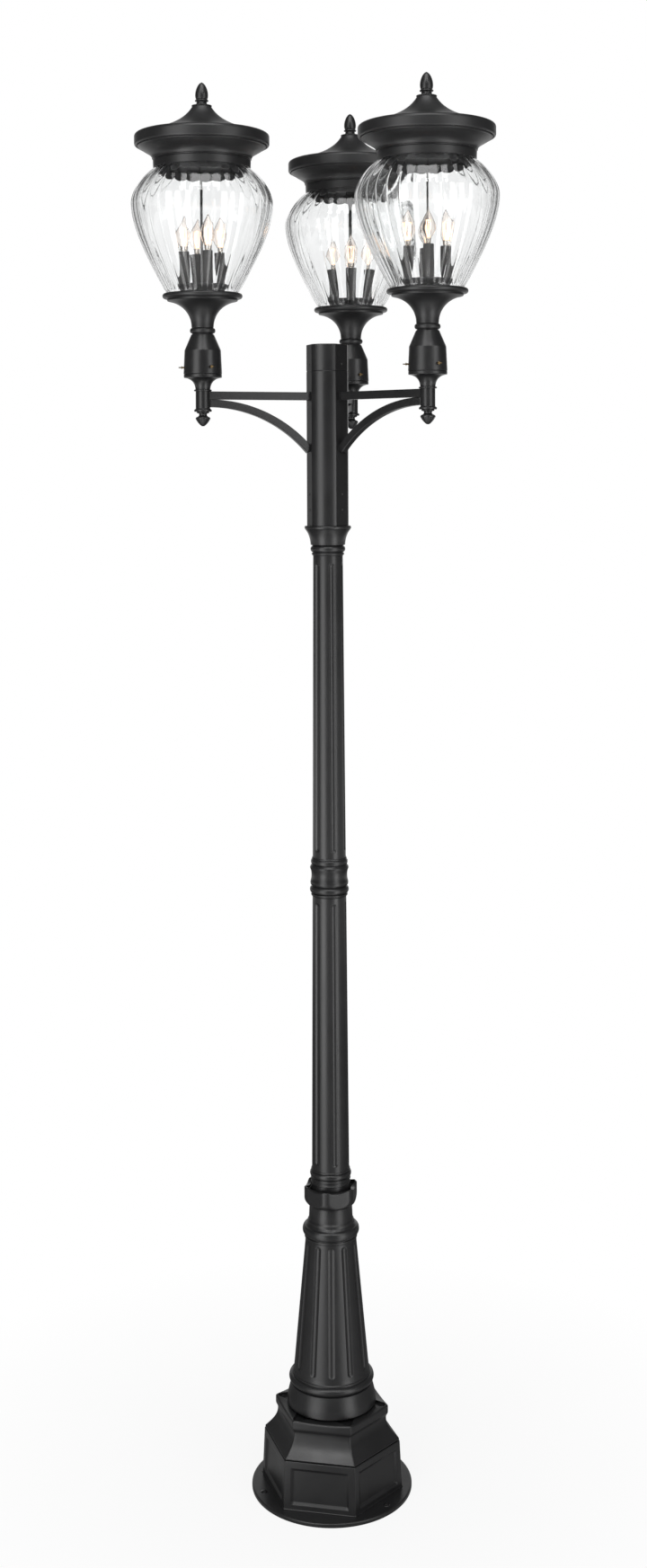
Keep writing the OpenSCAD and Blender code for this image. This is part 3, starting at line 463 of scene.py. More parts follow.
def arc_from_face(angle, flat, sag, half_chord):
    """Distance along a ray to the arc that comes in by sag from a hexagon's face, and the angle from its middle."""
    q = arc_radius(half_chord, sag)
    local = (angle + STEP / 2) % STEP - STEP / 2
    return near_side(local, flat + q - sag, q), local


def panelled_box():
    """Hexagonal box with tapered sides: each face sinks by a bevelled panel, by the smaller of two ramps."""
    low, high = span("pedestal_box")
    foot, taper, wall, height, corner, inner_corner = 139.5, 4.5, 8, high - low, 3.2, 1.5
    depth, bevel, side, top, bottom = 3.5, 6, 12, high - low - 14, 11
    w = (foot - taper - corner) * HALF_SIDE
    panel = 1 - side / w
    inner = panel - bevel / w
    columns = hexagon_columns(np.array([
        0, 0.3, 0.6, inner - 0.03, inner - 0.008, inner + 0.008, (inner + panel) / 2, panel - 0.012,
        panel - 0.003, panel + 0.012, (panel + 1) / 2, 0.97, 1]), 7)
    z = np.array([
        0, 0.8, 2.2, bottom - 1, bottom, bottom + 0.8, bottom + bevel - 0.8, bottom + bevel + 0.8, height / 2,
        top - bevel - 0.8, top - bevel + 0.8, top - 0.8, top, top + 1, height - 2, height - 0.6, height])
    flat = foot - taper * z / height
    flat[[0, 1]] = foot + 1.8, foot + 0.6
    flat[[-2, -1]] = foot - taper - 0.3, foot - taper - 1.2
    across = (panel - np.abs(columns[1])) * w / bevel
    upright = np.minimum(z - bottom, top - z)[:, None] / bevel
    sunk = depth * np.clip(np.minimum(across, upright), 0, 1) * (columns[2] == 0)
    outside = hexagon_rows(np.column_stack([flat, z]), corner, columns, sunk)
    hollow = hexagon_rows([[foot - taper - wall, height], [foot - wall, 0]], inner_corner, columns)
    return lifted(grid(np.concatenate([outside, hollow]), True), low)


def cornice():
    """Hexagonal cove and band: rows of rounded hexagons, then rays inwards over the star-shaped recess.

    Each side of the star is an arc, and its tips are cut off. The top dips by 1 - x^2 between the corners.
    """
    cove_h, band_h, foot, cove, band, corner, inner_corner = 53.5, 24, 134, 108.5, 112.5, 4.5, 1.5
    edge, lip, dip_depth, tip_drop, floor, socket, opening, wall = 3.8, 8, 3, 2, 7, 80.5, 74, 8
    sag, notch, tip_wall, dip_end = 26, 7, 6, 4
    top, half_side = cove_h + band_h, band * HALF_SIDE
    outer = eased(line(
        [[foot - 3, 0], [foot - 3, 2], [foot, 2]],
        cubic([foot, 4], [foot - 9, 14], [cove, cove_h - 24], [cove, cove_h - 6], 14),
        cubic([cove, cove_h - 4], [cove, cove_h + 1], [band, cove_h + 3], [band, cove_h + 9], 8),
        [[band, top - edge - 4]], round_edge(band, top, edge)), 0.7, False)
    columns = hexagon_columns(np.concatenate([np.linspace(0, 0.8, 11), np.linspace(0.83, 1, 7)]), 8)
    outside = hexagon_rows(outer, corner, columns)
    x, y = outside[-1, :, 0], outside[-1, :, 1]
    along = columns[1] * (band - corner) * HALF_SIDE / (half_side - dip_end)
    dip = dip_depth * np.clip(1 - along ** 2, 0, 1) * (columns[2] == 0)
    outside[..., 2] -= dip * (outside[..., 2] > top - edge - 0.1)
    angle, rim = np.arctan2(y, x), np.hypot(x, y)
    arc, local = arc_from_face(angle, band, sag, half_side - notch)
    tip = (band - tip_wall) / np.cos(local)
    star = np.minimum(arc, tip)
    open_tip = tip_drop * np.clip((arc - tip) / tip_wall, 0, 1)
    ledge, floor_z = top - dip - open_tip, top - floor
    radii, heights = ring_rows([
        (rim - 0.4 * (rim - star), top - dip - 0.3 * open_tip), (star + 1.8, ledge), (star + 0.8, ledge - 0.25),
        (star + 0.2, ledge - 0.9), (star, ledge - 2), (star - 0.6, floor_z + 1), (star - 1.6, floor_z),
        ((star + 80) / 2, floor_z), (socket, floor_z), (socket, top - 12), (opening, top - 12.6)], angle)
    hollow = hexagon_rows([[opening, top - 19], [cove - wall, top - 19], [cove - wall, cove_h - 17],
                           [foot - 14, 1], [foot - 14, 0]], inner_corner, columns)
    points = np.concatenate([outside, polar(radii, angle, heights), hollow])
    return lifted(grid(points, True), span("pedestal_cornice")[0] + lip)


def crown_collar():
    """Bowl with six softened faces: radius is the soft minimum of the bowl's and of the face's flat / cos(angle).

    Its rim dips over each face, and rays run inwards over a star-shaped recess whose sides are arcs.
    """
    r, flat, height, seat, socket, bore = 61.2, 56, 44, 48, 43.9, 36
    recess, tip_wall, sag, notch, edge, dip_depth, soft = 9, 2.3, 9.5, 5, 2.5, 4.5, 0.7
    bowl = eased(line(
        [[bore, 0], [seat, 0]], cubic([seat + 1, 0.6], [r - 4, 6], [r - 0.5, 12], [r, 20], 10),
        [[r, height - 8]], round_edge(r, height, edge)), 0.5, False)
    radius, z = bowl.T[:, :, None]
    angle = np.arange(216) * TURN / 216 + STEP / 2
    arc, local = arc_from_face(angle - STEP / 2, flat, sag, flat * HALF_SIDE - notch)
    over = np.clip((z - height + edge) / edge, 0, 1)
    face = flat / np.cos(local) - over * edge * (1 - np.sqrt(1 - over ** 2))
    outer = soft_min(radius, face, soft) + soft * 0.1
    dip = dip_depth * np.clip(1 - (r * np.sin(local)) ** 2 / (r * r - flat * flat), 0, 1)
    tip = (r - tip_wall) * math.cos(STEP / 2) / np.cos(local)
    star = np.minimum(arc, np.minimum(tip, outer[-1] - 1.2))
    ledge, floor_z = height - dip, height - recess
    radii, heights = ring_rows([
        (star + 0.5, ledge - 0.1), (star + 0.1, ledge - 0.6), (star - 0.1, ledge - 1.3),
        (star - 0.3, floor_z + 0.8), (star - 1.2, floor_z), (socket, floor_z), (socket, 6), (bore, 6)], angle)
    outer_z = z - dip * (z > height - edge - 0.1)
    points = polar(np.vstack([outer, radii]), angle, np.vstack([outer_z, heights]))
    return lifted(grid(points, True), span("crown_collar")[0])


# Post

def base_plate():
    """Round plate with three bolt holes.

    Its flat sides are rings of points. Near a hole, the square of grid lines round the hole's middle is spread into
    the hole's circle: a point at square distance m from the middle goes to the circle of radius m in its own
    direction, and the spread fades out with distance. The square's inner quads are left out, and a wall joins its
    two sides.
    """
    low, high = span("base_plate")
    rim, bore, t, edge, bolt_circle, bolt_r, fade, holes, steps = 180.1, 38, high - low, 3, 160, 5.5, 11, 3, 6
    near = np.concatenate([[-fade, -8], np.linspace(-bolt_r, bolt_r, steps + 1), [8, fade]])
    ring = np.concatenate([[bore, 90, 130, 143], bolt_circle + near, [175]])
    local = np.concatenate([np.linspace(-STEP, -0.1, 24)[:-1], near / bolt_circle, np.linspace(0.1, STEP, 24)[1:-1]])
    first = int(np.searchsorted(ring, bolt_circle - bolt_r - 0.01))
    column, side = int(np.searchsorted(local, -bolt_r / bolt_circle - 0.0001)), len(local)
    angle = (local + 2 * STEP * np.arange(holes)[:, None]).ravel()
    x, y = np.broadcast_arrays(ring[:, None] - bolt_circle, np.tile(local, holes) * bolt_circle)
    square = np.maximum(np.abs(x), np.abs(y))
    share = np.clip((fade - square) / (fade - bolt_r), 0, 1) * (square > 0.01)
    scale = 1 + share * (square / np.maximum(np.hypot(x, y), 0.01) - 1)
    r, turn = bolt_circle + x * scale, angle + y * (scale - 1) / bolt_circle
    rim_r, rim_z = ring_rows([
        (rim - edge, t), (rim - 1.8, t - 0.25), (rim - 0.8, t - 0.9), (rim - 0.2, t - 1.9), (rim, t - edge),
        (rim, 1), (rim - 0.3, 0.3), (rim - 1, 0)], angle)
    points = polar(np.vstack([r, rim_r, r[::-1]]), np.vstack([turn, 0 * rim_r + angle, turn[::-1]]),
                   np.vstack([0 * r + t, rim_z, 0 * r]))
    verts, quads = grid(points[::-1], True)
    count, cols = points.shape[:2]
    i, j = np.divmod(np.arange(count * cols), cols)
    i, j = np.minimum(i, count - 2 - i) - first, j % side - column
    quads = quads[~((i >= 0) & (i < steps) & (j >= 0) & (j < steps))]
    up, full = np.arange(steps), np.full(steps, steps)
    a = first + np.concatenate([0 * up, up, full, full - up])
    b = column + np.concatenate([up, full, full - up, 0 * up]) + side * np.arange(holes)[:, None]
    top, under = (count - 1 - a) * cols + b, a * cols + b
    walls = np.stack([top, np.roll(top, -1, axis=1), np.roll(under, -1, axis=1), under], axis=2).reshape(-1, 4)
    return lifted((verts, np.vstack([quads, walls])), low)


def base_column():
    """Skirt, torus, fluted cone, head moulding and neck of the base column."""
    foot, drop, skirt_h, skirt, neck, r0, r1, wall = 18, 5.2, 42, 100, 80, 84.5, 57.5, 8
    torus, shaft_z, head_z = foot + skirt_h + 9, foot + skirt_h + 29, foot + skirt_h + 320
    neck_z = head_z + 45
    top, skirt_z = neck_z + 31, foot - drop
    below = line(
        [[neck, 0], [neck, skirt_z], [skirt - 1.5, skirt_z], [skirt, skirt_z + 1.5], [skirt - 0.6, foot + 6]],
        cubic([skirt - 1.5, foot + 12], [skirt - 4, foot + 22], [skirt - 7, foot + 32],
              [skirt - 8, foot + skirt_h - 2], 10),
        bead(r0 + 3, torus, skirt - r0 - 7.5, 8.5, 14),
        moved([[3.5, 10], [3.5, 13], [1.5, 14.5]], r0, torus))
    above = line(
        bead(r1, head_z + 5, 2, 3, 8), bead(r1, head_z + 20, 6.3, 10.5, 14),
        moved([[-2, 32], [-5, 36], [-5.5, 41]], r1, head_z), [[49.5, neck_z], [48, top]])
    inner = [[40, top], [41.5, neck_z], [r1 - wall, head_z], [r0 - wall, shaft_z], [neck - wall, foot],
             [neck - wall, 0]]
    body = fluted_body(below, (r0, shaft_z, r1, head_z), above, inner, 12, 12, 7.5,
                       (shaft_z + 14.5, head_z - 11.5))
    return lifted(body, span("base_column")[0])


def lower_shaft():
    """Spigot, foot mouldings and six flutes, up to the coupling."""
    low, high = span("lower_shaft")
    spigot, foot_r, r0, r1, shaft_z = 30, 43.5, 42, 38.2, 77
    spigot_bore, foot_bore, top_bore, height = 27, 35, 31.2, high - low - spigot
    below = line(
        [[spigot_bore, -spigot], [33, -spigot], [33, 0]],
        moved([[0, 0], [0, 43], [0.8, 44], [0.8, 46], [0, 47]], foot_r, 0),
        bead(foot_r, 53.5, 1.4, 2.5, 8), [[r0 + 1, 57.5]], bead(r0 + 0.3, 64.5, 4.2, 6.5, 14),
        bead(r0, 73.5, 2, 2.5, 8))
    inner = [[top_bore, height], [top_bore, height - 45], [foot_bore, shaft_z], [spigot_bore, 56]]
    body = fluted_body(below, (r0, shaft_z, r1, height - 0.3), [[r1 - 0.3, height]], inner, 6, 26, 7,
                       (shaft_z + 19, height - 19.5))
    return lifted(body, low + spigot)


def upper_shaft():
    """Six flutes from the coupling to the capital, with a wider bore for the spigot at its foot."""
    low, high = span("upper_shaft")
    r0, r1, foot_bore, top_bore, height = 37.5, 33.7, 30.5, 26.7, high - low
    inner = [[top_bore, height], [top_bore, height - 35], [foot_bore, 45], [foot_bore, 0]]
    body = fluted_body([[r0 - 0.3, 0]], (r0, 0.3, r1, height - 0.3), [[r1 - 0.3, height]], inner, 6, 26, 7,
                       (21.5, height - 23.5))
    return lifted(body, low)


def coupling():
    """Beads, a cove and a waist between shafts of radius a below and b above, with a spigot into each."""
    low, high = span("shaft_coupling")
    spigot, a, b, bore = 40, 38.2, 37.5, 22
    top, cove = high - low - 2 * spigot, np.radians(np.arange(-90, 11, 10))
    outline = line(
        [[bore, -spigot], [30.9, -spigot], [30.9, 0], [a + 1, 0]], bead(a, 4, 3.1, 3.5, 10),
        bead(a + 0.4, 15, 5.4, 7.3, 14), [[a + 1, 23.5]],
        np.column_stack([a + 1.6 + 3.1 * np.cos(cove), 31 + 6.5 * np.sin(cove)]),
        cubic([a + 4, 35], [a + 1.6, 41], [a + 1.6, 56], [b + 5.2, 61], 10),
        [[b + 6.2, 64], [b + 5.4, 67], [b + 2.4, 71]], bead(b + 1, 77.6, 3.1, 6, 10),
        moved([[2, 84.5], [1.6, 86], [0.6, top]], b, 0),
        [[30.2, top], [30.2, top + spigot], [bore, top + spigot]])
    return lifted(lathe(outline, 144), low + spigot)


HUB_R, HUB_FLAT, HUB_BORE = 47.2, 43.2, 37


def capital():
    """Moulded head between a shaft of radius a and the hub, with a spigot into each."""
    a, bore, top, spigot, hub_spigot = 33.7, 19, 68, 30, 82
    outline = line(
        [[bore, -spigot], [26.4, -spigot], [26.4, 0], [a + 0.8, 0]], bead(a + 0.5, 4.5, 2.7, 3, 8),
        bead(a + 0.5, 15.5, 5.2, 7, 14), [[a + 2.5, 24], [a + 5.2, 25]],
        cubic([a + 5.5, 26], [a + 6.1, 38], [a + 9.9, 51], [HUB_R + 4, top - 8], 14),
        bead(HUB_R + 2.8, top - 4, 2.9, 4, 12),
        [[HUB_R + 0.3, top], [36.7, top], [36.7, top + hub_spigot], [31, top + hub_spigot], [31, top - 4],
         [bore, top - 14]])
    return lifted(lathe(outline, 144), span("capital")[0] + spigot)


def hub_tube(outline):
    """Round tube with three flats: the soft minimum of its radius and of flat / cos(angle from the flat's middle).

    The flats move in where the outline does, and the rows of the bore stay round.
    """
    half = np.array([0, 0.12, 0.25, 0.36, 0.43, 0.47, 0.49, 0.5, 0.51, 0.53, 0.57, 0.62, 0.68, 0.76, 0.84, 0.92])
    local = from_middle(half, math.acos(HUB_FLAT / HUB_R), STEP)
    angle = (local + 2 * STEP * np.arange(3)[:, None]).ravel()
    r, z = np.array(outline, float).T[:, :, None]
    bore_end = 41
    face = HUB_FLAT / np.cos(np.tile(local, 3)) + (r - HUB_R)
    radius = np.where(r > bore_end, soft_min(r, face, FINE_EDGE), r)
    return grid(polar(radius, angle, z), True)


def hub():
    """Tube with three flats, and a round neck on top for the cap."""
    low, high = span("hub")
    r, neck, neck_h = HUB_R, 40, 30
    height = high - low - neck_h
    return lifted(hub_tube([
        [r - 0.5, 0], [r, 0.5], [r, height - 1.4], [r - 0.3, height - 0.6], [r - 1.2, height], [neck, height],
        [neck, height + neck_h - 1], [neck - 1, height + neck_h], [HUB_BORE, height + neck_h], [HUB_BORE, 0]]), low)


def hub_cap():
    """Cap of the hub's section, with small roundings that leave a joint line above the hub."""
    low, high = span("hub_cap")
    r, bore, thick, height = HUB_R, 40.3, 4, high - low
    return lifted(hub_tube([
        [bore, 0], [r - 1.2, 0], [r - 0.3, 0.6], [r, 1.4], [r, height - 1.6], [r - 0.3, height - 0.8],
        [r - 0.9, height - 0.2], [r - 1.8, height], [30, height], [0, height],
        [0, height - thick], [38, height - thick], [bore, height - thick - 2]]), low)


def coat(name, surface, node, material=CAST):
    """A coated piece of the post in place of a CAD node."""
    piece(name, surface, material, "post", "black_powder_coat", node)


coat("ground_plate", base_plate(), "base_plate")
coat("panelled_box", panelled_box(), "pedestal_box")
coat("cornice_casting", cornice(), "pedestal_cornice")
coat("column_casting", base_column(), "base_column")
coat("crown_casting", crown_collar(), "crown_collar")
coat("shaft_below", lower_shaft(), "lower_shaft", DRAWN)
coat("coupling_casting", coupling(), "shaft_coupling")
coat("shaft_above", upper_shaft(), "upper_shaft", DRAWN)
coat("capital_casting", capital(), "capital")
coat("hub_tube", hub(), "hub", DRAWN)
coat("hub_cap_casting", hub_cap(), "hub_cap", DRAWN)


# Arms, in the frame of the lantern that each carries

BAR_W, BRACE_W, BAR_Z = 18, 17, -47
TUBE_R, BAR_END = 16, -12.5
SUNK = 0.5


def rounded_square(width, corner):
    """Square section with rounded corners, as (across, up) points."""
    steps = 4
    a = np.concatenate([np.linspace(0, math.pi / 2, steps + 1) + k * math.pi / 2 for k in range(4)])
    mid = math.pi / 4 + np.repeat(np.arange(4), steps + 1) * math.pi / 2
    centre = (width / 2 - corner) * math.sqrt(2)
    return np.column_stack([centre * np.cos(mid) + corner * np.cos(a), centre * np.sin(mid) + corner * np.sin(a)])


def swept(section, path, upward):
    """Section carried along a path in the plane y = 0: across is +Y and up is each row's upward direction."""
    across, up = section.T
    x = path[:, :1] + upward[:, :1] * up
    z = path[:, 1:] + upward[:, 1:] * up
    points = np.stack([x, across + 0 * x, z], axis=2)
    ends = [np.repeat(points[k].mean(axis=0)[None, None], points.shape[1], axis=1) for k in (0, -1)]
    return grid(np.concatenate([ends[0], points, ends[1]]), False)


def straight_bar(x0, x1, width, corner):
    """Level square bar. A hair's length at each end keeps the shading of its sides straight."""
    hair = 0.01
    path = [[x, BAR_Z] for x in (x0, x0 + hair, x1 - hair, x1)]
    return swept(rounded_square(width, corner), np.array(path), np.tile([0.0, 1.0], (4, 1)))


def arm_bar():
    """Square bar from the hub's flat into the wall of the upright tube, with a shallow collar where it enters."""
    face = HUB_FLAT - REACH
    return joined([straight_bar(face - SUNK, BAR_END, BAR_W, 1.4),
                   straight_bar(face - SUNK, face + 3.2, BAR_W + 2.4, 1.8)])


def arm_brace():
    """Square bar bent along an arc of radius 307: level under the arm bar, and down to the hub's flat."""
    bend, top = 307, BAR_Z - BAR_W / 2 - BRACE_W / 2
    a = np.linspace(0, math.asin((REACH - TUBE_R - HUB_FLAT + SUNK) / bend), 41)
    arc = np.column_stack([-TUBE_R - bend * np.sin(a), top - bend + bend * np.cos(a)])
    up = np.column_stack([-np.sin(a), np.cos(a)])
    path = np.vstack([[BAR_END, top], arc])
    return swept(rounded_square(BRACE_W, 1.4), path[::-1], np.vstack([[0, 1], up])[::-1])


def arm_tube():
    """Upright tube with a collar under and over the bars, a flare, and the tenon that the fitter slips over."""
    low, bar_top, r, bore, collar, tenon = -83, BAR_Z + BAR_W / 2, TUBE_R, 11, 19.6, 38.1
    outline = line(
        [[bore, low], [collar - 1, low]], bead(collar - 1, low + 2.5, 1, 2.3, 8),
        [[r + 0.8, low + 6], [r, low + 7], [r, bar_top + 0.3]], bead(collar - 1, bar_top + 2.1, 1, 1.8, 8),
        [[r + 0.4, bar_top + 4]], cubic([16.6, -32], [17.5, -22], [23, -10], [tenon + 3.4, -7.8], 14),
        moved([[4, -6.5], [4, -1], [3, 0], [0, 0]], tenon, -0.3), moved([[0, -1], [-1, 0], [-4, 0]], tenon, 45),
        [[tenon - 4, 0], [bore, -18]])
    return lathe(outline, 96, 0.5)


def drop_finial():
    """Turned drop under an arm. Below its rim it has eight soft lobes: radius times 1 - 0.05 |sin(4 angle)|^3."""
    outline = eased(line(
        [[0, -32]], cubic([3, -31.6], [7, -29], [12, -24], [15.5, -17.5], 10),
        [[16.4, -16], [16.4, -13.6], [15, -12]], cubic([12, -10.6], [8.5, -9], [8, -6], [9.5, -4], 8),
        [[14, -2.5], [14, 0], [10.9, 0], [10.9, 8.3], [0, 8.3]]), 0.4, False)
    r, z = outline.T[:, :, None]
    angle, lobe_depth, rim_z, place = np.arange(96) * TURN / 96, 0.05, -12, -83.3
    below_rim = np.clip((rim_z - z) / 6, 0, 1)
    lobes = 1 - lobe_depth * below_rim * np.abs(np.sin(4 * angle)) ** 3
    return lifted(grid(polar(r * lobes, angle, z), False), place)


for n in ARMS:
    for name, surface, node, material in (("square_bar", arm_bar(), "arm_bar", DRAWN),
                                          ("bent_brace", arm_brace(), "arm_brace", DRAWN),
                                          ("upright_tube", arm_tube(), "arm_tube", CAST),
                                          ("drop_turning", drop_finial(), "drop_finial", CAST)):
        coat(f"{name}_{n}", placed(surface, at_lantern(n)), f"{node}_{n}", material)


# Lantern, in heights above the fitter's foot

BELL_Z = 88
LEDGE_Z = 173.7
RING_Z = 178
GLASS_Z = 174
BELLY_Z = 377
GLASS_TOP = 462
CAP_Z = 454
COVE_Z = 475
RIM_Z = 506
CAP_TOP = 530
HAT_TOP = 592
FINIAL_Z = 595.3
PAN_TOP = 197.7
CANDLE_TOP = 269.7
BULB_FOOT = CANDLE_TOP + 11.5
BULB_TIP = 348.7
ROD_HOLE = 6.5
CANDLE_CIRCLE = 42.5
CANDLE_TURNS = (42, 12, 2)
GLASS_FOOT, GLASS_BELLY, GLASS_NECK = 80, 156.5, 104


def fitter():
    """Sleeve over the tenon with a cone above it, closed by a roof with a hole for the rod."""
    bore, roof = 38.6, 5
    r = bore + 3.9
    outline = line([[bore, 0], [r - 0.5, 0], [r, 0.8], [r - 2.3, 52], [r - 2.9, 54], [25.5, BELL_Z - 1.2],
                    [24.3, BELL_Z], [ROD_HOLE, BELL_Z], [ROD_HOLE, BELL_Z - roof], [19, BELL_Z - roof],
                    [bore - 2, 52], [bore, 49]])
    return lathe(outline, 128, 0.9)


def thumb_screws():
    """Three screws round the fitter, each a shank, a shoulder and a flat oval wing with rounded edges."""
    shank = lathe([[0, 38.4], [1.9, 38.4], [1.9, 46], [3.3, 46], [3.3, 47.2], [1.7, 47.6], [1.7, 48.6], [0, 48.6]],
                  24, 0.2, False)
    thick, edge, wide, tall, wing_z, height = 1.1, 0.9, 4.0, 2.0, 51, 15
    a = np.linspace(0, TURN, 33)[:-1]
    shift = np.linspace(-math.pi / 2, math.pi / 2, 9)[:, None]
    wing = np.stack([thick * np.sin(shift) + 0 * a, (wide + edge * np.cos(shift)) * np.cos(a),
                     wing_z + (tall + edge * np.cos(shift)) * np.sin(a)], axis=2)
    ends = [np.broadcast_to([thick * s, 0, wing_z], (1, len(a), 3)) for s in (-1, 1)]
    one = joined([shank, grid(np.concatenate([ends[0], wing, ends[1]]), False)])
    outwards = placed(one, Matrix.Translation((0, 0, height)) @ Matrix.Rotation(math.pi / 2, 4, "Y"))
    return joined([turned(outwards, -20 + 120 * k) for k in range(3)])


def gallery():
    """Bell of the lantern: a bead, a concave flare, and the ring that the glass stands in."""
    foot, step, seat, wall = 24.5, 74.5, 81.5, 3
    bell = cubic([foot, BELL_Z + 16], [foot, BELL_Z + 40], [foot + 15.5, LEDGE_Z - 19.7], [step, LEDGE_Z - 12.7], 24)
    outline = line(
        [[ROD_HOLE, BELL_Z], [foot - 2, BELL_Z], [foot - 1.5, BELL_Z + 1.5]],
        bead(foot - 1, BELL_Z + 8, 4.7, 6, 14), [[foot - 0.5, BELL_Z + 14.5]], bell,
        moved([[3, -12], [3.5, -11.2], [3.5, -7.4]], step, LEDGE_Z), bead(seat + 2, LEDGE_Z - 1.3, 5, 5.6, 14),
        [[seat, RING_Z], [seat, LEDGE_Z], [ROD_HOLE, LEDGE_Z], [ROD_HOLE, LEDGE_Z - 3.2], [step, LEDGE_Z - 3.2]],
        inset(bell, wall)[::-1], [[foot - wall, BELL_Z + 4], [ROD_HOLE, BELL_Z + 4]])
    return lathe(outline, 160, 0.5)


def lamp_pan():
    """Drum with a flared rim and a flat top, which the candles stand on."""
    pan, drum, bore, top, wall = 58, 49, 3.3, PAN_TOP, 2.5
    flare = cubic([drum, LEDGE_Z + 8], [drum + 0.5, LEDGE_Z + 13], [pan - 5, top - 7], [pan - 0.5, top - 4], 10)
    outline = line(
        [[drum - wall, LEDGE_Z], [drum, LEDGE_Z]], flare, bead(pan - 1, top - 1.5, 1, 1.5, 6),
        [[bore, top], [bore, top - 3], [pan - 6, top - 3]], inset(flare, wall)[::-1])
    return lathe(outline, 128, 0.4)


def four(surface, first):
    """Four copies on the candles' circle, from this angle on."""
    out = Matrix.Translation((CANDLE_CIRCLE, 0, 0))
    return joined([turned(placed(surface, out), first + 90 * k) for k in range(4)])


def sleeves(first):
    """Thin tubes from the pan up to the bulbs."""
    r, bore = 11.8, 10.6
    tube = lathe([[bore, PAN_TOP], [r, PAN_TOP], [r, CANDLE_TOP], [bore, CANDLE_TOP]], 48, 0.35)
    return four(tube, first)


def bulb_caps(first):
    """Screw shells of the bulbs: radius 6.1 + 0.4 cos(thread angle), closed by a shoulder under the glass."""
    r, thread, pitch = 6.1, 0.4, 3.6
    z = np.linspace(CANDLE_TOP - 22, CANDLE_TOP + 4, 60)
    shell = np.column_stack([r + thread * np.cos((z - CANDLE_TOP) * TURN / pitch), z])
    outline = line([[0, CANDLE_TOP - 24], [4, CANDLE_TOP - 24]], shell,
                   [[6.4, CANDLE_TOP + 8], [7.2, BULB_FOOT], [0, BULB_FOOT]])
    return four(lathe(outline, 48, 0.2, False), first)


def bulb_shells(first):
    """Clear envelopes with a real wall: a flame-shaped line up to the tip, the same 0.8 inside it, and a floor."""
    belly, r, wall = BULB_TIP - 44, 16, 0.8
    flame = line(
        cubic([7.2, BULB_FOOT], [8.5, BULB_FOOT + 3.5], [13, BULB_FOOT + 11.5], [r, belly - 3], 12),
        cubic([r, belly - 1], [r - 0.4, belly + 16], [5.5, belly + 30], [1.2, BULB_TIP - 0.6], 16))
    shell = lathe(line(flame, [[0, BULB_TIP]]), 48, 0.3, False)
    verts, quads = lathe(line(inset(flame, wall)[:-1], [[0, BULB_TIP - 1.4]]), 48, 0.3, False)
    floor = lathe([[0, BULB_FOOT + 0.7], [6.4, BULB_FOOT + 0.7]], 48, 0.1, False)
    return four(joined([shell, (verts, quads[:, ::-1]), floor]), first)


def filaments(first):
    """A stem with six glowing strips, as rods that lean a little outwards, and a ring at their upper ends."""
    foot, tall, lean, circle = CANDLE_TOP + 19, 32, math.radians(4), 4.4
    rod = lathe([[0, foot], [1.2, foot + 0.8], [1.2, foot + tall - 1], [0, foot + tall]], 16, 0.3, False)
    ring = lathe([[5.4, foot + tall - 1], [7.2, foot + tall - 1], [7.2, foot + tall], [5.4, foot + tall]], 32, 0.3)
    stem = lathe([[0, foot - 6], [5, foot - 6], [5.4, foot], [2, foot + 3], [0, foot + 3]], 32, 0.6, False)
    out = Matrix.Translation((circle, 0, foot)) @ Matrix.Rotation(lean, 4, "Y") @ Matrix.Translation((0, 0, -foot))
    rods = [turned(placed(rod, out), 60 * k) for k in range(6)]
    return four(joined(rods + [stem, ring]), first)


def urn_glass():
    """Urn of 32 soft lobes with creases between: a depth x (|cos(16 angle)| - 0.6) is added to the outline's radius.

    The outside is deeper than the inside, so that the lobes bend what is seen through them. They fade out at the
    foot and in the neck.
    """
    shoulder, wall, count, mean, crease = BELLY_Z + 77, 3.2, 32, 0.6, 0.006
    outer = line(
        [[GLASS_FOOT, GLASS_Z], [GLASS_FOOT, GLASS_Z + 3]],
        cubic([GLASS_FOOT, GLASS_Z + 6], [GLASS_FOOT + 29, GLASS_Z + 60], [GLASS_BELLY, BELLY_Z - 62],
              [GLASS_BELLY, BELLY_Z - 2], 40),
        cubic([GLASS_BELLY, BELLY_Z], [GLASS_BELLY, BELLY_Z + 28], [GLASS_NECK + 22, shoulder - 11],
              [GLASS_NECK, shoulder], 26),
        [[GLASS_NECK, shoulder + 4], [GLASS_NECK, GLASS_TOP - 0.6], [GLASS_NECK - 0.8, GLASS_TOP]])
    inner = inset(outer, wall)
    inner[:, 1] = np.clip(inner[:, 1], GLASS_Z, GLASS_TOP)
    places = np.array([-0.5, -0.46, -0.4, -0.3, -0.2, -0.1, 0, 0.1, 0.2, 0.3, 0.4, 0.46])
    angle = (places + np.arange(count)[:, None]).ravel() * TURN / count
    lobe = np.sqrt(np.cos(count / 2 * angle) ** 2 + crease) - mean

    def rows(outline, depth, extra):
        r, z = outline.T[:, :, None]
        fade = np.clip((z - GLASS_Z - 2) / 22, 0, 1) * np.clip((GLASS_TOP - 4 - z) / 8, 0, 1)
        deeper = extra * np.clip((z - BELLY_Z - 20) / 45, 0, 1)
        return polar(r + (depth + deeper) * fade * lobe, angle, z)

    return grid(np.concatenate([rows(outer, 2.0, 1.6), rows(inner[::-1], 1.7, 0.3)]), True)


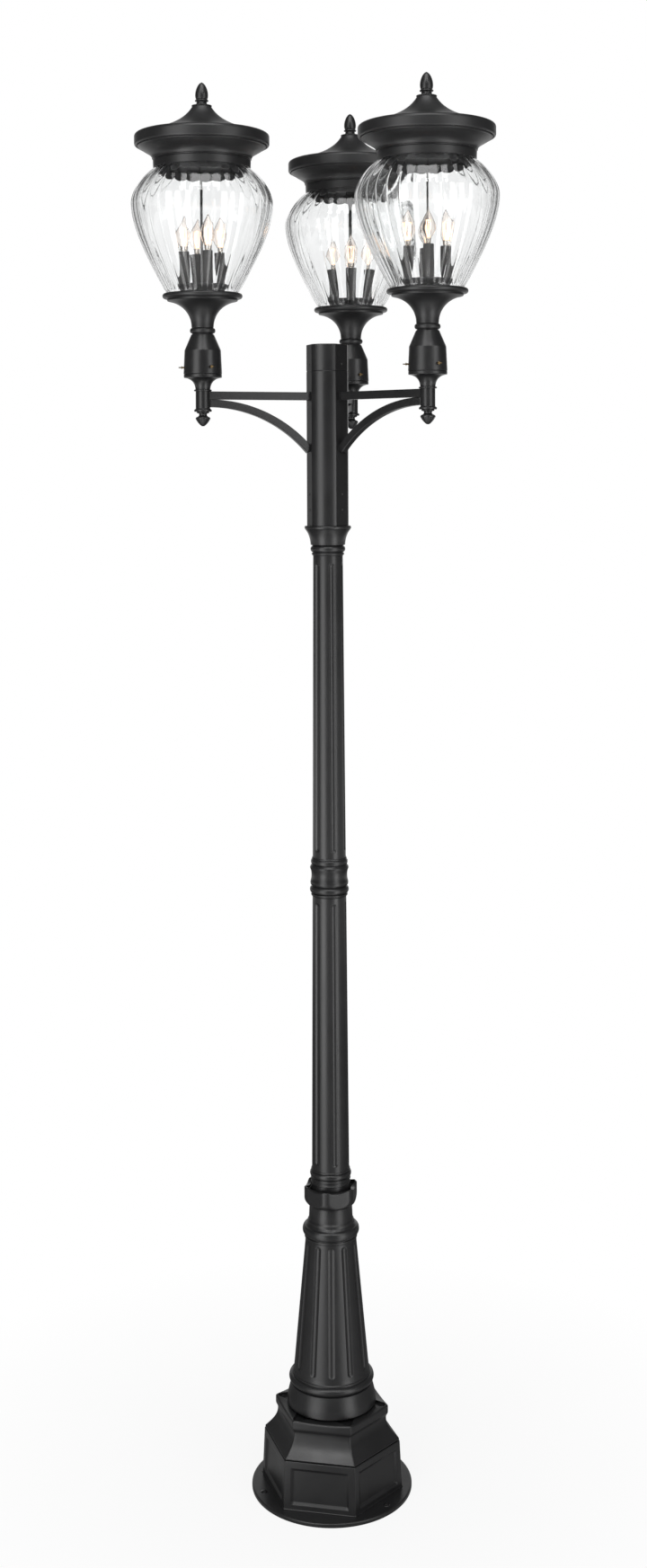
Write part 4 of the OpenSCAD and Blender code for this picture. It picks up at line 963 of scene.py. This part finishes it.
def cap():
    """Lid with a neck band, a cove, and a rolled rim with a groove round its underside, under a concave hat.

    A ring under its plate keeps it central in the neck of the glass.
    """
    rim, lip, wall, band, bore, rod_bore = 149.4, 22.5, 2.2, GLASS_NECK + 3.6, GLASS_NECK + 1.2, 3.5
    plate, thick, inner, hole = GLASS_TOP + 0.3, 2.5, rim - wall - 0.6, 12
    cove = cubic([band + 2.4, COVE_Z], [band + 2.4, COVE_Z + 12], [band + 20, COVE_Z + 16],
                 [rim - 10, RIM_Z - 5.2], 16)
    groove = moved([[-8, -5], [-6.8, -3.4], [-6.6, 0.5], [-4.6, 0.5], [-4.6, -1.6]], rim, RIM_Z)
    roll = cubic([rim - 4.2, RIM_Z - 2.2], [rim - 2, RIM_Z - 2.2], [rim, RIM_Z - 0.5], [rim, RIM_Z + 3], 8)
    shoulder = cubic([rim, CAP_TOP - 6], [rim, CAP_TOP - 2.5], [rim - 2.5, CAP_TOP + 0.2],
                     [rim - 7, CAP_TOP + 1.6], 8)
    hat = cubic([rim - 8, CAP_TOP + 2], [60, CAP_TOP + 16], [33, HAT_TOP - 20], [lip - 1.5, HAT_TOP], 28)
    outline = line(
        [[bore, CAP_Z]], moved([[-0.8, 0], [0, 1], [0.6, 17], [-1.6, 18.5]], band, CAP_Z),
        [[band - 1.6, COVE_Z]], cove, groove, roll, shoulder, hat,
        moved([[0, 0.6], [0, 2.2], [-3, 3]], lip, HAT_TOP), [[rod_bore, HAT_TOP + 3], [rod_bore, HAT_TOP - 1]],
        inset(hat, wall)[::-1], [[inner, CAP_TOP - 2], [inner, RIM_Z + 4], [rim - 8, RIM_Z + 3]],
        inset(cove, wall)[::-1], [[bore - 2, COVE_Z], [bore - 2, plate + thick], [hole, plate + thick],
                                  [hole, plate], [bore, plate]])
    ring, ring_wall, ring_foot, ring_top = GLASS_NECK - 7, 2, CAP_Z - 11, plate + 0.4
    locating = [[ring - ring_wall, ring_foot], [ring, ring_foot], [ring, ring_top], [ring - ring_wall, ring_top]]
    return joined([lathe(outline, 192, 0.8), lathe(locating, 96, 0.5)])


def finial():
    """Acorn on a flared foot and a bead."""
    acorn = FINIAL_Z + 12
    outline = line(
        [[0, FINIAL_Z]], moved([[13.5, 0], [13.5, 1.5], [11.8, 3], [11.2, 6]], 0, FINIAL_Z),
        bead(12, FINIAL_Z + 9.5, 3.2, 2, 10),
        cubic([12, acorn], [17.6, acorn + 8], [12.5, acorn + 33], [1.2, acorn + 38], 24), [[0, acorn + 38.4]])
    return lathe(outline, 64, 0.4, False)


for n in ARMS:
    first = CANDLE_TURNS[n - 1]
    for name, surface, material, body, slot, *node in (
            ("fitter_casting", fitter(), CAST, "lantern", "black_powder_coat", "fitter"),
            ("thumb_screws", thumb_screws(), BRASS, "lantern", "brass_screws", "set_screws"),
            ("gallery_spinning", gallery(), SPUN, "lantern", "black_powder_coat", "gallery"),
            ("lamp_tray", lamp_pan(), SPUN, "lantern", "black_powder_coat", "lamp_pan"),
            ("candle_tubes", sleeves(first), CANDLE, "lantern", "candle_black", "candle_sleeves"),
            ("urn_glass", urn_glass(), GLASS, "lantern", "clear_glass", "glass"),
            ("bulb_envelopes", bulb_shells(first), BULB, "lantern", "bulb_glass", "bulbs"),
            ("bulb_shells", bulb_caps(first), NICKEL, "lantern", "bulb_glass"),
            ("bulb_filaments", filaments(first), GLOW, "lantern", "bulb_glass"),
            ("lid_spinning", cap(), SPUN, "lid", "black_powder_coat", "cap"),
            ("acorn_turning", finial(), CAST, "knob", "black_powder_coat", "finial")):
        piece(f"{name}_{n}", placed(surface, at_lantern(n)), material, f"{body}_{n}", slot,
              *(f"{base}_{n}" for base in node), even=material not in (GLASS, BULB))


# CAD nodes that stay

for name, material in [("supply_wires", WIRE), ("hub_screws", STEEL), ("hub_cap_screws", STEEL)] + [
        (f"{base}_{n}", kind) for n in ARMS for base, kind in (("rod", ROD), ("sockets", CERAMIC))]:
    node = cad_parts[name]
    if not node.material_slots:
        node.data.materials.append(material)
    for slot in node.material_slots:
        slot.material = material


# Floor, backdrop, lamps and camera, in metres

VIEW_TURN = math.radians(41.5)
VIEW_ROLL = math.radians(-0.25)
VIEW_DISTANCE = 4.2
VIEW_HEIGHT = 2.3
PHOTO = (720, 1745)
FOCAL_PIXELS = 2066
VIEW_MIDDLE = (364.5, 519)
SENSOR = 36
WHITE = (1, 1, 1, 1)


def sector(tree, turn, middle, near, far, low, high):
    """High within near of the middle direction seen from the post, low beyond far, in degrees."""
    off = worked_out(tree, "SUBTRACT", turn, VIEW_TURN - math.pi / 2 + math.radians(middle))
    size = worked_out(tree, "ABSOLUTE", off)
    return ranged(tree, size, math.radians(near), math.radians(far), high, low)


def white_floor():
    """Pale disc under the post. The camera sees it part lit, so that it keeps a soft shadow, and plain white far out.

    Reflections see two bright sectors near the post, as if the softboxes went on below the floor, and white from a
    few metres on.
    """
    rings = np.array([0, 0.6, 1.5, 4, 14])[:, None] / MM
    verts, quads = grid(polar(rings, -np.arange(96) * TURN / 96, -0.4), False)
    mesh = bpy.data.meshes.new("floor")
    mesh.from_pydata((verts * MM).tolist(), [], quads.tolist())
    material = bpy.data.materials.new("floor_white")
    material.use_nodes = True
    mesh.materials.append(material)
    tree = material.node_tree
    shader = tree.nodes["Principled BSDF"]
    feed(tree, shader, {"Base Color": (0.7, 0.7, 0.7, 1), "Roughness": 0.9, "Specular IOR Level": 0.0})
    place = add_node(tree, "TexCoord").outputs["Object"]
    length = add_node(tree, "VectorMath", {0: place}, operation="LENGTH").outputs["Value"]
    split = add_node(tree, "SeparateXYZ", {"Vector": place}).outputs
    turn = worked_out(tree, "ARCTAN2", split["Y"], split["X"])
    level = sector(tree, turn, 0, 60, 115, 0.12, 0.4)
    for middle, near, far in ((-40, 11, 19), (46, 8, 16)):
        level = worked_out(tree, "ADD", level, sector(tree, turn, middle, near, far, 0, 1.9))
    level = ranged(tree, length, 0.22, 0.7, 0.3, level)
    level = ranged(tree, length, 4, 9, level)
    reflected = add_node(tree, "Emission", {"Strength": level}).outputs["Emission"]
    white = add_node(tree, "Emission").outputs["Emission"]
    share = worked_out(tree, "MULTIPLY", ranged(tree, length, 0.15, 1.2, 0.88),
                       ray_kinds(tree, "Is Camera Ray", "Is Transmission Ray"))
    seen = mixed(tree, share, shader.outputs["BSDF"], white)
    feed(tree, tree.nodes["Material Output"], {
        "Surface": mixed(tree, ray_kinds(tree, "Is Glossy Ray"), seen, reflected)})
    floor = bpy.data.objects.new("floor", mesh)
    bpy.context.scene.collection.objects.link(floor)


def studio_world():
    """White to the camera, and dim round the object for other rays, with a white backdrop behind it."""
    world = bpy.data.worlds.new("studio")
    bpy.context.scene.world = world
    world.use_nodes = True
    tree = world.node_tree
    backwards = (-math.sin(VIEW_TURN), math.cos(VIEW_TURN), 0)
    where = add_node(tree, "TexCoord").outputs["Generated"]
    behind = add_node(tree, "VectorMath", {0: where, 1: backwards}, operation="DOT_PRODUCT").outputs["Value"]
    dim = tree.nodes["Background"]
    feed(tree, dim, {"Color": WHITE, "Strength": ranged(tree, behind, 0.8, 0.95, 0.12)})
    white = add_node(tree, "Background", {"Color": WHITE, "Strength": 1.0})
    feed(tree, tree.nodes["World Output"], {"Surface": mixed(
        tree, ray_kinds(tree, "Is Camera Ray"), dim.outputs["Background"], white.outputs["Background"])})


def softbox(name, turn, distance, height, width, tall, radiance, aim=1.5):
    """Area lamp that faces the post at the height aim. Its turn is from the camera's direction, anticlockwise."""
    lamp = bpy.data.lights.new(name, "AREA")
    lamp.shape = "RECTANGLE"
    lamp.size, lamp.size_y = width, tall
    lamp.energy = radiance * math.pi * width * tall
    holder = bpy.data.objects.new(name, lamp)
    angle = VIEW_TURN + math.radians(turn)
    place = np.array([distance * math.sin(angle), -distance * math.cos(angle), height])
    away = place - np.array([0, 0, aim])
    tilt = math.atan2(math.hypot(away[0], away[1]), away[2])
    holder.matrix_world = Matrix.Translation(place) @ Matrix.Rotation(angle, 4, "Z") @ Matrix.Rotation(tilt, 4, "X")
    bpy.context.scene.collection.objects.link(holder)


def camera():
    """Level camera with a slight roll, shifted so that the post stands in the frame as in the photo."""
    data = bpy.data.cameras.new("camera")
    data.sensor_fit = "VERTICAL"
    data.sensor_height = SENSOR
    data.lens = SENSOR * FOCAL_PIXELS / PHOTO[1]
    data.shift_x = (PHOTO[0] / 2 - VIEW_MIDDLE[0]) / PHOTO[1]
    data.shift_y = (VIEW_MIDDLE[1] - PHOTO[1] / 2) / PHOTO[1]
    data.clip_end = 100
    view = bpy.data.objects.new("camera", data)
    place = (VIEW_DISTANCE * math.sin(VIEW_TURN), -VIEW_DISTANCE * math.cos(VIEW_TURN), VIEW_HEIGHT)
    view.matrix_world = (Matrix.Translation(place) @ Matrix.Rotation(VIEW_TURN, 4, "Z")
                         @ Matrix.Rotation(math.pi / 2, 4, "X") @ Matrix.Rotation(VIEW_ROLL, 4, "Z"))
    bpy.context.scene.collection.objects.link(view)
    bpy.context.scene.camera = view


white_floor()
studio_world()
softbox("left_softbox", turn=-40, distance=3.2, height=1.9, width=1.7, tall=4.6, radiance=2.7)
softbox("right_softbox", turn=46, distance=3.2, height=1.9, width=1.3, tall=4.6, radiance=2.7)
softbox("top_softbox", turn=0, distance=1.6, height=6.3, width=3.0, tall=3.0, radiance=3.2)
softbox("front_softbox", turn=-24, distance=6.0, height=7.3, width=2.1, tall=2.1, radiance=6.5, aim=0.3)
softbox("edge_softbox", turn=20, distance=6.0, height=6.8, width=1.0, tall=1.8, radiance=13, aim=0.3)
camera()
bpy.context.scene.view_settings.view_transform = "Standard"
